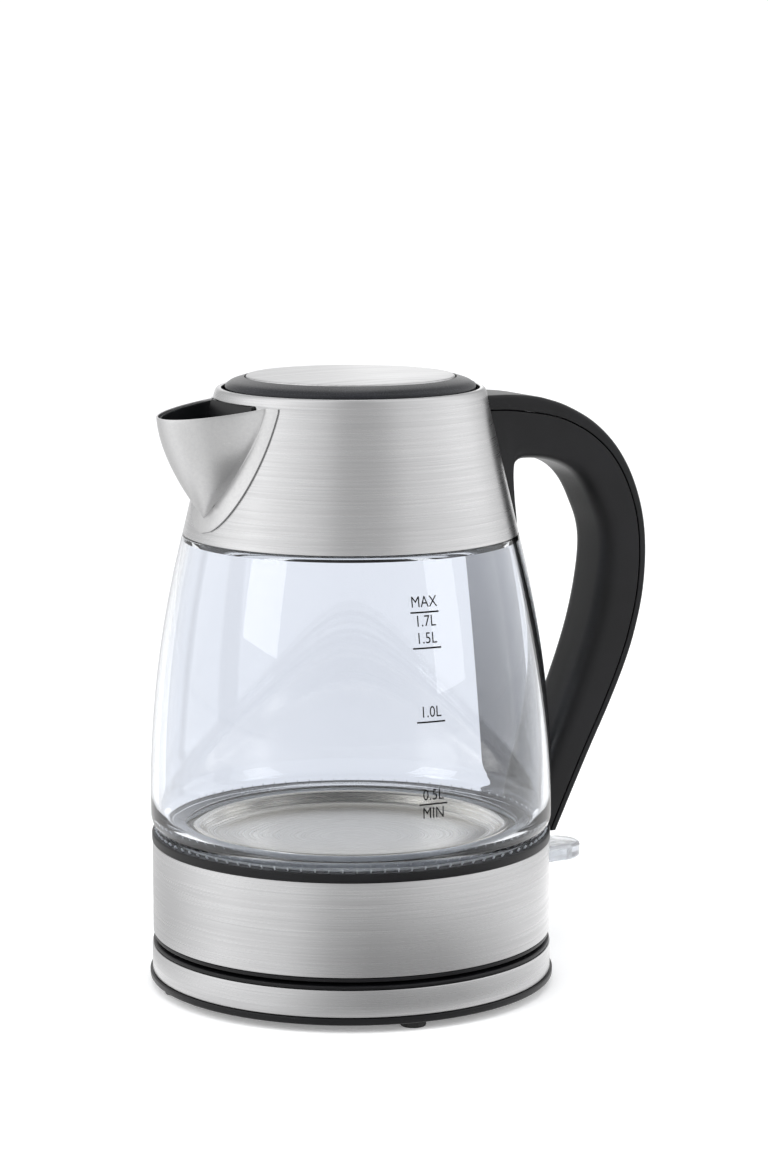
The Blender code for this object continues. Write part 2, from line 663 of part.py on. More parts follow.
def switch_lever(skirt_shell):
    """Clear paddle that pivots on a pin and sticks out through a slot in the skirt."""
    tip = SKIRT_RADIUS + LEVER_REACH
    half = LEVER_HALF_WIDTH
    rounding = [(tip - half + half * math.cos(turn), half * math.sin(turn))
                for turn in [math.radians(-90 + 22.5 * step) for step in range(9)]]
    tail = LEVER_PIVOT_X - 7.0
    outline = rounding + [(tail, half), (tail, -half)]
    lever = slab("switch_lever", outline, lambda u, v, w: (u, v, LEVER_Z + w), LEVER_THICK, "clear_plastic")
    soften(lever, 1.6)
    bore = rod("lever_bore", (LEVER_PIVOT_X, -30, LEVER_Z), (LEVER_PIVOT_X, 30, LEVER_Z), LEVER_PIN + GAP)
    boolean(lever, bore)
    low = LEVER_Z - LEVER_THICK / 2 - 3.2
    slot = block("lever_slot", (SKIRT_RADIUS - 8.0, -half - 0.8, low),
                 (SKIRT_RADIUS + 8.0, half + 0.8, LEVER_Z + LEVER_THICK / 2 + 1.2))
    carve([skirt_shell], slot)
    lever_bracket(bore)
    rod("lever_pin", (LEVER_PIVOT_X, -half - 3.0, LEVER_Z), (LEVER_PIVOT_X, half + 3.0, LEVER_Z),
        LEVER_PIN, "polished_steel")
    hang_on("switch_axis", (LEVER_PIVOT_X, 0, LEVER_Z), [lever])


def lever_bracket(bore):
    """Fork on the kettle's floor that carries the lever's pin."""
    half = LEVER_HALF_WIDTH + SLIDE_GAP
    low = FLOOR_Z + PLATE + GAP
    near = LEVER_PIVOT_X - 4.5
    far = LEVER_PIVOT_X + 3.5
    fork = block("lever_bracket", (near, -half - 2.2, low), (far, half + 2.2, LEVER_Z + 4.0), "grey_plastic")
    room = block("lever_room", (near - 5.0, -half, low + 2.0), (far + 5.0, half, LEVER_Z + 9.0))
    boolean(fork, room)
    boolean(fork, bore)
    lamp_x = LEVER_PIVOT_X - 9.5
    rod("indicator_lamp", (lamp_x, 0, low), (lamp_x, 0, LEVER_Z - LEVER_THICK / 2 - 2.0), 2.5,
        "clear_plastic", SCREW_SIDES)


# Collar, liner and spout

def collar():
    """Brushed steel cone with a rounded shoulder turned in to the lid's mouth."""
    steel = COLLAR_STEEL
    shoulder = [(MOUTH_RADIUS, COLLAR_TOP), (COLLAR_TOP_RADIUS - 1.7, COLLAR_TOP - 0.5),
                (COLLAR_TOP_RADIUS - 0.5, COLLAR_TOP - 2.2), (COLLAR_TOP_RADIUS, CONE_TOP)]
    inner = [(COLLAR_RADIUS - steel, COLLAR_Z), (COLLAR_TOP_RADIUS - steel, CONE_TOP),
             (COLLAR_TOP_RADIUS - 0.5 - steel, COLLAR_TOP - 2.7),
             (COLLAR_TOP_RADIUS - 2.0, COLLAR_TOP - 0.5 - steel), (MOUTH_RADIUS, COLLAR_TOP - steel)]
    return turned("collar", shoulder + [(COLLAR_RADIUS, COLLAR_Z)] + inner, "brushed_steel")


def collar_liner():
    """Black liner: the wall inside the collar, the lid's throat and the two hinge ears."""
    def outer(z):
        return collar_radius(z) - COLLAR_STEEL - GAP

    flange_top = COLLAR_TOP - 2.2
    flange_low = flange_top - 2.0
    throat_out = THROAT_RADIUS + LINER_WALL
    liner = turned("collar_liner", [
        (MOUTH_RADIUS, flange_top), (outer(CONE_TOP - 1.0), CONE_TOP - 1.0), (outer(LINER_Z), LINER_Z),
        (outer(LINER_Z) - LINER_WALL, LINER_Z), (outer(flange_low) - LINER_WALL, flange_low - 0.6),
        (throat_out, flange_low - 0.6), (throat_out, flange_top - THROAT_DEPTH),
        (THROAT_RADIUS, flange_top - THROAT_DEPTH), (THROAT_RADIUS, flange_top)], "black_plastic")
    room = block("lid_room", (HINGE_X - 3.0, -LID_RADIUS / 2 + 1.0, HINGE_Z - 6.2),
                 (MOUTH_RADIUS + 0.5, LID_RADIUS / 2 - 1.0, COLLAR_TOP + 5.0))
    boolean(liner, room)
    for side in (-1, 1):
        near, far = sorted((side * EAR_INNER, side * EAR_OUTER))
        ear = block("ear_post_%d" % side, (HINGE_X - 1.7, near, HINGE_Z - 8.4),
                    (HINGE_X + 1.7, far, HINGE_Z))
        knuckle = rod("ear_eye_%d" % side, (HINGE_X, near, HINGE_Z), (HINGE_X, far, HINGE_Z), EAR_RADIUS)
        boolean(liner, ear, "UNION")
        boolean(liner, knuckle, "UNION")
    eye = rod("ear_bore", (HINGE_X, -EAR_OUTER - 2.0, HINGE_Z), (HINGE_X, EAR_OUTER + 2.0, HINGE_Z),
              HINGE_PIN + GAP)
    boolean(liner, eye)
    return liner


def spout_window(collar_shell, liner):
    """Opening from the vessel into the spout, through collar and liner."""
    top = COLLAR_TOP - WINDOW_TOP_DROP
    half = WINDOW_HALF_WIDTH
    outline = window_outline(half, top, WINDOW_HEIGHT)
    depth = SPOUT_REACH
    reach_in = THROAT_RADIUS + LINER_WALL + 0.6
    middle = -(reach_in + depth) / 2
    tool = slab("window_cut", outline, lambda u, v, w: (middle + w, u, v), depth - reach_in)
    carve([collar_shell, liner], tool)


def window_outline(half, top, height):
    """A shield shape: flat top, upright shoulders and a pointed foot."""
    return [(-half, top), (-half, top - height * 0.3), (-half * 0.62, top - height * 0.68), (0.0, top - height),
            (half * 0.62, top - height * 0.68), (half, top - height * 0.3), (half, top)]


def strainer():
    """Black frame in the window with a fine steel mesh in it."""
    slope = (COLLAR_RADIUS - COLLAR_TOP_RADIUS) / (CONE_TOP - COLLAR_Z)
    top = COLLAR_TOP - WINDOW_TOP_DROP - GAP * 0.7 - FRAME_THICK / 2 * slope
    height = WINDOW_HEIGHT - 2.0
    wall_middle = COLLAR_STEEL + GAP + LINER_WALL * 0.35

    def place(u, v, w):
        return (-(collar_radius(v) - wall_middle) + w * 0.97, u, v + w * slope)

    frame = slab("strainer_frame", window_outline(WINDOW_HALF_WIDTH - 0.5, top, height), place, FRAME_THICK,
                 "black_plastic")
    half = WINDOW_HALF_WIDTH - 0.5 - FRAME_BORDER
    hole_top = top - FRAME_BORDER
    hole_height = height - 3.0 * FRAME_BORDER
    hole = slab("strainer_hole", window_outline(half, hole_top, hole_height), place, FRAME_THICK + 4.0)
    boolean(frame, hole)
    slab("strainer_mesh", window_outline(half - GAP, hole_top - GAP, hole_height - 3.0 * GAP), place, MESH_THICK,
         "satin_steel")


def spout_rows(inset, first, last, rows, with_flange):
    """Half of the spout's skin as rows of points, from the fold's foot up to the lip."""
    stand_off = GAP + 0.05
    skin = []
    for row in range(rows + 1):
        t = first + (last - first) * row / rows
        fold_half = max(SPOUT_HALF_WIDTH * (1.0 - (1.0 - t) ** 2) - inset, 0.0)
        fold_low = COLLAR_Z + SPOUT_BOTTOM
        fold_z = fold_low + (COLLAR_TOP - SPOUT_TOP_DROP - fold_low) * t
        fold_radius = collar_radius(min(fold_z, CONE_TOP)) + stand_off
        fold_x = math.sqrt(fold_radius ** 2 - fold_half ** 2)
        keel_z = fold_low + (COLLAR_TOP - SPOUT_TIP_DROP - fold_low) * t
        keel_start = collar_radius(fold_low) + stand_off
        keel_x = keel_start + (SPOUT_REACH - SPOUT_STEEL - keel_start) * (1.0 - (1.0 - t) ** 1.6)
        keel_x = max(keel_x - inset, fold_x)
        line = []
        if with_flange:
            low = fold_low - FLANGE_DROP
            flange_z = low + (COLLAR_TOP - SPOUT_TOP_DROP - low) * t
            flange_half = SPOUT_FLANGE_HALF * math.sqrt(1.0 - (1.0 - t) ** 2)
            flange_radius = collar_radius(min(flange_z, CONE_TOP)) + stand_off
            line.append((-math.sqrt(flange_radius ** 2 - flange_half ** 2), flange_half, flange_z))
        for step in range(9):
            turn = math.radians(90.0 * step / 8)
            line.append((-(fold_x + (keel_x - fold_x) * math.sin(turn)), fold_half * math.cos(turn),
                         fold_z + (keel_z - fold_z) * math.sin(turn)))
        skin.append(line)
    return skin


def spout_skin(name, skin, thickness, finish_name):
    """Skin both halves of the spout from its rows and give it a wall, outwards."""
    bm = bmesh.new()
    for side in (1.0, -1.0):
        rows = [[bm.verts.new(Vector((x, side * y, z)) * MM) for x, y, z in line] for line in skin]
        for low, high in zip(rows, rows[1:]):
            for index in range(len(low) - 1):
                corners = [low[index], low[index + 1], high[index + 1], high[index]]
                bm.faces.new(corners if side > 0 else corners[::-1])
    bmesh.ops.remove_doubles(bm, verts=bm.verts[:], dist=0.00002)
    bmesh.ops.dissolve_degenerate(bm, edges=bm.edges[:], dist=0.00002)
    mesh = bpy.data.meshes.new(name)
    bm.to_mesh(mesh)
    bm.free()
    thing = add_mesh(name, mesh, finish_name)
    wall = thing.modifiers.new("wall", "SOLIDIFY")
    wall.thickness = thickness * MM
    wall.offset = 1.0
    return thing


def spout():
    """Satin steel spout pressed against the collar, with a plastic channel inside it."""
    spout_skin("spout", spout_rows(0.0, 0.0, 1.0, 10, True), SPOUT_STEEL, "satin_steel")
    channel = spout_rows(SPOUT_LINER + GAP + 0.4, 0.3, 0.94, 7, False)
    spout_skin("spout_channel", channel, SPOUT_LINER, "black_plastic")


# Lid

def lid_ring():
    """Black ring and plug wall of the lid, with hinge slots, a spring pocket and a catch."""
    edge = COLLAR_TOP + LID_EDGE_RISE
    seat = COLLAR_TOP + LID_DISC_RISE - 1.9
    inside = LID_PLUG_RADIUS - LID_PLUG_WALL
    hole = LID_DISC_RADIUS + 0.4
    thing = turned("lid_ring", [
        (hole, COLLAR_TOP + LID_DISC_RISE - 0.3), (LID_RADIUS - 0.4, edge + 0.5), (LID_RADIUS, edge),
        (LID_RADIUS, LID_UNDER), (LID_PLUG_RADIUS, LID_UNDER), (LID_PLUG_RADIUS, LID_LOW),
        (inside, LID_LOW), (inside, seat - 2.6), (hole - 2.4, seat - 2.6), (hole - 2.4, seat),
        (hole, seat)], "grey_plastic")
    for side in (-1, 1):
        near, far = sorted((side * (EAR_INNER - GAP), side * (EAR_OUTER + GAP)))
        slot = block("ear_slot_%d" % side, (HINGE_X - 2.7, near, HINGE_Z - 10.5),
                     (LID_RADIUS + 5.0, far, HINGE_Z + 2.3))
        boolean(thing, slot)
    pocket = block("spring_pocket", (HINGE_X - 3.0, -5.2, HINGE_Z - 2.9),
                   (LID_RADIUS + 5.0, 5.2, HINGE_Z + 2.9))
    boolean(thing, pocket)
    bore = rod("hinge_bore", (HINGE_X, -EAR_OUTER, HINGE_Z), (HINGE_X, EAR_OUTER, HINGE_Z),
               HINGE_PIN + GAP)
    boolean(thing, bore)
    catch = block("lid_catch", (LID_PLUG_RADIUS - 1.2, -BAR_HALF_WIDTH + GAP, BAR_TOP - 1.8),
                  (BAR_START - 0.7, BAR_HALF_WIDTH - GAP, BAR_TOP + 0.2))
    boolean(thing, catch, "UNION")
    return thing


def lid_pieces():
    """Steel disc, inner cover, silicone lip and screws that ride with the lid ring."""
    top = COLLAR_TOP + LID_DISC_RISE
    steel = LID_DISC_STEEL
    disc = turned("lid_disc", [
        (0.0, top + LID_CROWN), (LID_DISC_RADIUS * 0.5, top + LID_CROWN * 0.75),
        (LID_DISC_RADIUS - 0.5, top), (LID_DISC_RADIUS, top - 0.4), (LID_DISC_RADIUS, top - 1.6),
        (LID_DISC_RADIUS - steel, top - 1.6), (LID_DISC_RADIUS - steel, top - steel),
        (LID_DISC_RADIUS * 0.5, top + LID_CROWN * 0.75 - steel), (0.0, top + LID_CROWN - steel)], "brushed_steel")
    inside = LID_PLUG_RADIUS - LID_PLUG_WALL - GAP
    low = LID_LOW
    cover = turned("lid_inner_cover", [(0.0, low + PLATE), (inside, low + PLATE), (inside, low), (0.0, low)],
                   "black_plastic")
    seal = ring("lid_seal", LID_PLUG_RADIUS + GAP, LID_PLUG_RADIUS + LID_SEAL_PROUD, low + 0.4,
                low + 0.4 + LID_SEAL_HEIGHT, "silicone", SIDES)
    screws = []
    for number, degrees in enumerate((90.0, 210.0, 330.0), start=1):
        x, y, _ = around(32.0, degrees, 0.0)
        hole = rod("lid_screw_hole_%d" % number, (x, y, low - 1.0), (x, y, low + PLATE + 1.0),
                   SCREW_HEAD + GAP, sides=SCREW_SIDES)
        carve([cover], hole)
        screws.append(turned_screw("lid_screw_%d" % number, (x, y), low + 0.3, low + 8.0))
    return [disc, cover, seal] + screws


def hinge():
    """Steel hinge pin in the liner's ears, with the spring that throws the lid open."""
    rod("hinge_pin", (HINGE_X, -EAR_OUTER, HINGE_Z), (HINGE_X, EAR_OUTER, HINGE_Z), HINGE_PIN,
        "polished_steel", SCREW_SIDES)
    turns = 4
    steps = 9
    radius = HINGE_PIN + GAP + 0.7
    route = []
    for step in range(turns * steps + 1):
        turn = math.tau * step / steps
        route.append((HINGE_X + radius * math.cos(turn), -3.2 + 6.4 * step / (turns * steps),
                      HINGE_Z + radius * math.sin(turn)))
    wire("lid_spring", route, 0.4, "polished_steel", roundness=1)


# Handle

def handle_knots(places):
    """Turn (share of the handle's height, distance from the body) into points (x, z)."""
    knots = []
    for share, distance in places:
        z = TAIL_Z + share * (HEAD_Z - TAIL_Z)
        knots.append(Vector((body_radius(z) + distance, z)))
    return knots


BACK_LINE = [(1.0, -6.0), (0.998, 12.0), (0.988, 26.5), (0.928, 48.3), (0.812, 60.8), (0.632, 61.2),
             (0.396, 46.0), (0.181, 25.0), (0.0, 9.3)]
SEAM_LINE = [(0.965, -6.0), (0.963, 12.0), (0.949, 27.0), (0.898, 45.5), (0.800, 57.2), (0.632, 57.9),
             (0.396, 42.7), (0.181, 21.9), (0.0, 6.4)]
PALM_LINE = [(0.0, 1.2), (0.12, 2.2), (0.185, 7.5), (0.31, 19.5), (0.40, 26.4), (0.53, 36.0), (0.632, 42.0),
             (0.73, 41.6), (0.785, 38.6), (0.82, 33.6), (0.845, 24.0), (0.849, 14.5)]
ROOT_THICK = 6.2


def handle():
    """Handle moulding, its back cover with the thumb button, and the latch bar between them."""
    back = smooth_line(handle_knots(BACK_LINE), 4)
    seam = smooth_line(handle_knots(SEAM_LINE), 4)
    palm = smooth_line(handle_knots(PALM_LINE), 3)
    normal_gap = Vector((GAP * 0.7, GAP * 0.7))
    root_low = COLLAR_Z - ROOT_DROP
    root = [Vector((body_radius(root_low + 26.0) + ROOT_THICK, root_low + 26.0)),
            Vector((body_radius(root_low + 1.5) + ROOT_THICK, root_low + 1.5)),
            Vector((body_radius(root_low) + ROOT_THICK - 1.5, root_low)),
            Vector((body_radius(root_low) - 6.0, root_low))]

    def place(u, v, w):
        return (u, w, v)

    body_outline = [point - normal_gap for point in seam] + palm + root
    start = len(seam)
    body = slab("handle_body", body_outline, place, HANDLE_WIDTH, "black_plastic",
                soft_run=range(start, start + len(palm) + 3))
    soften(body, HANDLE_SOFT, by_weight=True)
    cover = slab("handle_cover", back + seam[::-1], place, HANDLE_WIDTH, "black_plastic",
                 soft_run=range(0, len(back)))
    soften(cover, COVER_SOFT, by_weight=True)
    clearance = body_clearance()
    carve([body, cover], clearance)
    thumb_button(back, body, cover, place)
    latch_bar(cover)
    handle_screws(body)
    return body


def body_clearance():
    """Solid a little larger than the kettle's body, which hollows the handle's mating faces."""
    steps = 7
    low = SKIRT_Z
    top = COLLAR_TOP + 12.0
    neck = COLLAR_TOP_RADIUS + GAP
    outline = [(0.0, top), (neck, top), (neck, CONE_TOP), (COLLAR_RADIUS + GAP, COLLAR_Z - GAP)]
    for step in range(steps + 1):
        z = COLLAR_Z - 1.0 - (COLLAR_Z - 1.0 - RING_TOP) * step / steps
        outline.append((glass_radius(z) + SLIDE_GAP, z))
    outline += [(RING_RADIUS + SLIDE_GAP, low), (0.0, low)]
    return turned("body_clearance", outline)


def thumb_button(back, body, cover, place):
    """Lens-shaped button let into the top of the cover; it sinks along the surface's normal."""
    first, last = 9, 13
    run = back[first:last + 1]
    out = (run[-1] - run[0]).orthogonal().normalized()
    if out.y < 0:
        out = -out
    proud = [0.35] + [1.0] * (len(run) - 2) + [0.35]
    top = [point + out * BUTTON_PROUD * share for point, share in zip(run, proud)]
    low = [point - out * BUTTON_THICK for point in run]
    button = slab("release_button", top + low[::-1], place, 2 * BUTTON_HALF_WIDTH, "black_plastic",
                  soft_run=range(0, len(top)))
    soften(button, 0.8, by_weight=True)
    along = (run[-1] - run[0]).normalized() * SLIDE_GAP
    mouth = [point + out * 4.0 for point in run]
    floor = [point - out * POCKET_DEPTH for point in run]
    for line in (mouth, floor):
        line[0] = line[0] - along
        line[-1] = line[-1] + along
    pocket = slab("button_pocket", mouth + floor[::-1], place, 2 * (BUTTON_HALF_WIDTH + SLIDE_GAP))
    carve([cover, body], pocket)
    middle = run[len(run) // 2]
    foot = middle - out * (POCKET_DEPTH - 0.8)
    button_spring(foot, out)
    hang_on("button_axis", (middle.x, 0.0, middle.y), [button])


def button_spring(foot, out):
    """Small coil under the button, standing on the pocket's floor."""
    turns = 3
    steps = 9
    radius = 2.4
    height = POCKET_DEPTH - 0.8 - BUTTON_THICK - BUTTON_TRAVEL - 1.0
    across = Vector((out.y, -out.x))
    route = []
    for step in range(turns * steps + 1):
        turn = math.tau * step / steps
        spot = foot + across * radius * math.cos(turn) + out * (0.2 + height * step / (turns * steps))
        route.append((spot.x, radius * math.sin(turn), spot.y))
    wire("button_spring", route, 0.35, "polished_steel", roundness=1)


def latch_bar(cover):
    """Bar in the handle's head that the button draws back to free the lid."""
    half = BAR_HALF_WIDTH
    bar = block("latch_bar", (BAR_START, -half, BAR_TOP - BAR_THICK), (BAR_END, half, BAR_TOP), "grey_plastic")
    groove = block("bar_groove", (BAR_START - 4.0, -half - SLIDE_GAP, HEAD_Z - 14.0),
                   (BAR_END + BUTTON_TRAVEL + 1.5, half + SLIDE_GAP, BAR_TOP + SLIDE_GAP))
    boolean(cover, groove)
    hang_on("latch_axis", (BAR_START, 0.0, BAR_TOP - BAR_THICK / 2), [bar])


def bar_hole(collar_shell, liner, body):
    """Way through liner, collar and handle for the latch bar."""
    half = BAR_HALF_WIDTH + SLIDE_GAP
    hole = block("bar_hole", (HINGE_X + 1.0, -half, BAR_TOP - BAR_THICK - SLIDE_GAP),
                 (BAR_END + BUTTON_TRAVEL + 1.5, half, BAR_TOP + SLIDE_GAP))
    carve([collar_shell, liner, body], hole)


def handle_screws(body):
    """Two screws from inside the liner through the collar into the handle's root."""
    for number, rise in enumerate((16.0, 31.0), start=1):
        z = COLLAR_Z + rise
        seat = collar_radius(z) - COLLAR_STEEL - GAP - LINER_WALL
        under = collar_radius(z + SCREW_HEAD) - COLLAR_STEEL - GAP - LINER_WALL - 0.23
        head = rod("handle_screw_%d" % number, (under - 2.1, 0, z), (under, 0, z), SCREW_HEAD,
                   "polished_steel", SCREW_SIDES)
        shank = rod("handle_screw_shank_%d" % number, (under - 1.1, 0, z), (seat + 8.6, 0, z), SCREW_SHANK,
                    sides=SCREW_SIDES)
        boolean(head, shank, "UNION")
        hole = rod("handle_screw_hole_%d" % number, (under - 1.6, 0, z), (seat + 9.0, 0, z),
                   SCREW_SHANK + GAP, sides=SCREW_SIDES)
        carve([body, bpy.data.objects["collar"], bpy.data.objects["collar_liner"]], hole)


def build():
    pan = base_pan()
    band = base_band()
    base_top()
    base_plug()
    base_contacts()
    cord_outlet(pan, band)
    feet()
    base_screws(pan)
    connector_socket()
    floor = kettle_floor()
    shell = skirt()
    skirt_ring()
    floor_screws(floor)
    heating_plate()
    heater()
    glass_vessel()
    seals()
    switch_lever(shell)
    collar_shell = collar()
    liner = collar_liner()
    spout_window(collar_shell, liner)
    strainer()
    spout()
    lid = [lid_ring()] + lid_pieces()
    hang_on("lid_axis", (HINGE_X, 0.0, HINGE_Z), lid)
    hinge()
    body = handle()
    bar_hole(collar_shell, liner, body)


build()
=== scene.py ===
# %% [markdown]
# # A glass electric kettle on its power base
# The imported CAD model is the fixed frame: it holds every piece's place and every joint. This script
# gives each piece its finished shape and its real material, one cell at a time. Sizes are in
# millimetres, as on a workshop drawing, and turned into metres where a mesh is made.

# %% Load the frame
import math

import bmesh
import bpy
from mathutils import Matrix, Vector


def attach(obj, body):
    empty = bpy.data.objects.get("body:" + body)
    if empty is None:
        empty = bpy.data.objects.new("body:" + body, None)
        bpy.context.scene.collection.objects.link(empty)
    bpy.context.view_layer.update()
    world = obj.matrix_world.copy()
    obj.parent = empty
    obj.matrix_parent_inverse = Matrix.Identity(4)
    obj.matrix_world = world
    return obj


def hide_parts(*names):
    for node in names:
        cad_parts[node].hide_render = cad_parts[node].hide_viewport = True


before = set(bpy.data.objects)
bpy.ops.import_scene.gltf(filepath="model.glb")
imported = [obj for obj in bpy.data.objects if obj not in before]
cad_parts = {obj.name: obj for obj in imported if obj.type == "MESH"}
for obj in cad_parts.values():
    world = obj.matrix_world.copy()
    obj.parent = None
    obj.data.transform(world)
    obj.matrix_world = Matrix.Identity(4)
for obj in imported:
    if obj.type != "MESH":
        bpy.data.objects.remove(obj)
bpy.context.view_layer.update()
MM = 0.001

# %% [markdown]
# ## The camera, the room and the light
# The kettle stands in a white studio: a pale floor that curves up into the wall, so there is no
# horizon, and large soft lamps. Steel shows whatever stands round it, so the room matters more than
# the lamps. An image of a room could stand in for it, but a cloth whose light is set angle by angle
# is easier to steer: each angle makes one band in the steel. Two cards do the same for the glass.

# %% Helpers for colour and nodes
def linear(code):
    """An sRGB hex colour as linear red, green, blue and alpha."""
    shares = [int(code[start:start + 2], 16) / 255 for start in (1, 3, 5)]
    return (*[s / 12.92 if s <= 0.04045 else ((s + 0.055) / 1.055) ** 2.4 for s in shares], 1.0)


def add(tree, kind, inputs=None, **settings):
    """Add a node, apply its settings, and fill or link its inputs by name or number."""
    node = tree.nodes.new(kind)
    for key, value in settings.items():
        setattr(node, key, value)
    for key, value in (inputs or {}).items():
        if isinstance(value, bpy.types.NodeSocket):
            tree.links.new(value, node.inputs[key])
        else:
            node.inputs[key].default_value = value
    return node


def maths(tree, operation, *values):
    """A sum worked out in nodes."""
    return add(tree, "ShaderNodeMath", dict(enumerate(values)), operation=operation).outputs[0]


def tint(tree, value, dark, light):
    """Mix two near colours by a pattern."""
    mix = add(tree, "ShaderNodeMix", {"Factor": value, 6: linear(dark), 7: linear(light)}, data_type="RGBA")
    return mix.outputs[2]


def material(name, colour, roughness, **more):
    """A Principled material; returns it with its shader so that a pattern can be added."""
    made = bpy.data.materials.new(name)
    made.use_nodes = True
    shader = made.node_tree.nodes["Principled BSDF"]
    shader.inputs["Base Color"].default_value = linear(colour)
    shader.inputs["Roughness"].default_value = roughness
    for key, value in more.items():
        shader.inputs[key.replace("_", " ")].default_value = value
    return made, shader


def put(name, data):
    """Add an object to the scene."""
    thing = bpy.data.objects.new(name, data)
    bpy.context.scene.collection.objects.link(thing)
    return thing


def ring_of_points(radius, height, sides):
    """Points round the kettle's axis."""
    turns = [math.tau * s / sides for s in range(sides)]
    return [(radius * math.cos(turn), radius * math.sin(turn), height) for turn in turns]


# %% Camera at the height of a person's eyes across a table
CAMERA_DISTANCE = 1321.3
CAMERA_AZIMUTH = -29.0      # round the kettle from its spout-handle plane
CAMERA_TILT = 8.983         # downwards
CAMERA_PAN = 0.565          # the kettle stands a little left of the middle
CAMERA_HEIGHT = 0.3705      # metres
LENS = 106.55
camera_data = bpy.data.cameras.new("camera")
camera_data.lens = LENS
camera_data.sensor_width = 36.0
camera_data.clip_end = 50.0
camera = put("camera", camera_data)
around = math.radians(CAMERA_AZIMUTH)
camera.location = Vector((math.sin(around), -math.cos(around), 0.0)) * CAMERA_DISTANCE * MM
camera.location.z = CAMERA_HEIGHT
camera.rotation_euler = (math.radians(90.0 - CAMERA_TILT), 0.0, math.radians(CAMERA_AZIMUTH - CAMERA_PAN))
bpy.context.scene.camera = camera
print("camera at", [round(c, 4) for c in camera.location])


# %% Floor and wall in one round dish
def stage_piece(name, corners, faces, colour, glow=0.0, hidden=False):
    """A piece of the room, with its own matt paint; glow is light that the paint gives by itself."""
    mesh = bpy.data.meshes.new(name)
    mesh.from_pydata(corners, [], faces)
    for face in mesh.polygons:
        face.use_smooth = True
    thing = put(name, mesh)
    paint, shader = material(name + "_paint", colour, 0.85, Specular_IOR_Level=0.2)
    if glow:
        shader.inputs["Emission Color"].default_value = linear(colour)
        shader.inputs["Emission Strength"].default_value = glow
    mesh.materials.append(paint)
    thing.visible_camera = not hidden
    return thing


def dish(name, radius, bend, height, sides=96):
    """A floor that curves up into a round wall."""
    outline = [(0.0, 0.0), (radius - bend, 0.0)]
    outline += [(radius - bend + bend * math.sin(turn), bend - bend * math.cos(turn))
                for turn in [math.radians(10 * step) for step in range(1, 10)]]
    outline.append((radius, height))
    corners = [(0.0, 0.0, 0.0)]
    faces = []
    for row, (reach, level) in enumerate(outline[1:]):
        corners += ring_of_points(reach, level, sides)
        for s in range(sides):
            here = 1 + row * sides + s
            after = 1 + row * sides + (s + 1) % sides
            faces.append((0, here, after) if row == 0 else (here - sides, here, after, after - sides))
    return stage_piece(name, corners, faces, "#f6f6f6", glow=0.22)


dish("studio_floor", 4.0, 1.2, 3.2)


def lamp(name, azimuth, height, distance, size, power, aim=0.12):
    """A soft box that looks at the kettle from an azimuth counted from the camera, in degrees."""
    light = bpy.data.lights.new(name, "AREA")
    light.shape = "RECTANGLE"
    light.size, light.size_y = size
    light.energy = power
    thing = put(name, light)
    turn = math.radians(CAMERA_AZIMUTH + azimuth)
    thing.location = (math.sin(turn) * distance, -math.cos(turn) * distance, height)
    thing.rotation_euler = (Vector((0, 0, aim)) - thing.location).to_track_quat("-Z", "Y").to_euler()
    thing.visible_glossy = False
    return thing


def unseen_by(thing, *rays):
    """Hide a thing from some kinds of light ray."""
    for kind in rays:
        setattr(thing, "visible_" + kind, False)


def tent(name, rows, levels, sides=90):
    """A cloth round the kettle that only shine sees; levels gives its light at angles from the camera."""
    corners = [point for reach, height in rows for point in ring_of_points(reach, height, sides)]
    faces = [(low + s, low + (s + 1) % sides, low + sides + (s + 1) % sides, low + sides + s)
             for low in range(0, (len(rows) - 1) * sides, sides) for s in range(sides)]
    cloth = stage_piece(name, corners, faces, "#ffffff", hidden=True)
    tree = cloth.data.materials[0].node_tree
    shader = tree.nodes["Principled BSDF"]
    place = add(tree, "ShaderNodeTexCoord")
    turned_place = add(tree, "ShaderNodeMapping", {
        "Vector": place.outputs["Object"], "Rotation": (0.0, 0.0, math.radians(90.0 - CAMERA_AZIMUTH))})
    angle = add(tree, "ShaderNodeTexGradient", {"Vector": turned_place.outputs["Vector"]},
                gradient_type="RADIAL")
    ramp = add(tree, "ShaderNodeValToRGB", {"Fac": angle.outputs["Fac"]})
    stops = ramp.color_ramp.elements
    ends = {-180: stops[0], 180: stops[1]}
    for degrees, light in levels:
        stop = ends[degrees] if degrees in ends else stops.new(0.5 + degrees / 360.0)
        stop.color = (light / TENT_GLOW, light / TENT_GLOW, light / TENT_GLOW, 1.0)
    shader.inputs["Base Color"].default_value = (0.0, 0.0, 0.0, 1.0)
    tree.links.new(ramp.outputs["Color"], shader.inputs["Emission Color"])
    shader.inputs["Emission Strength"].default_value = TENT_GLOW
    unseen_by(cloth, "diffuse", "transmission", "shadow")


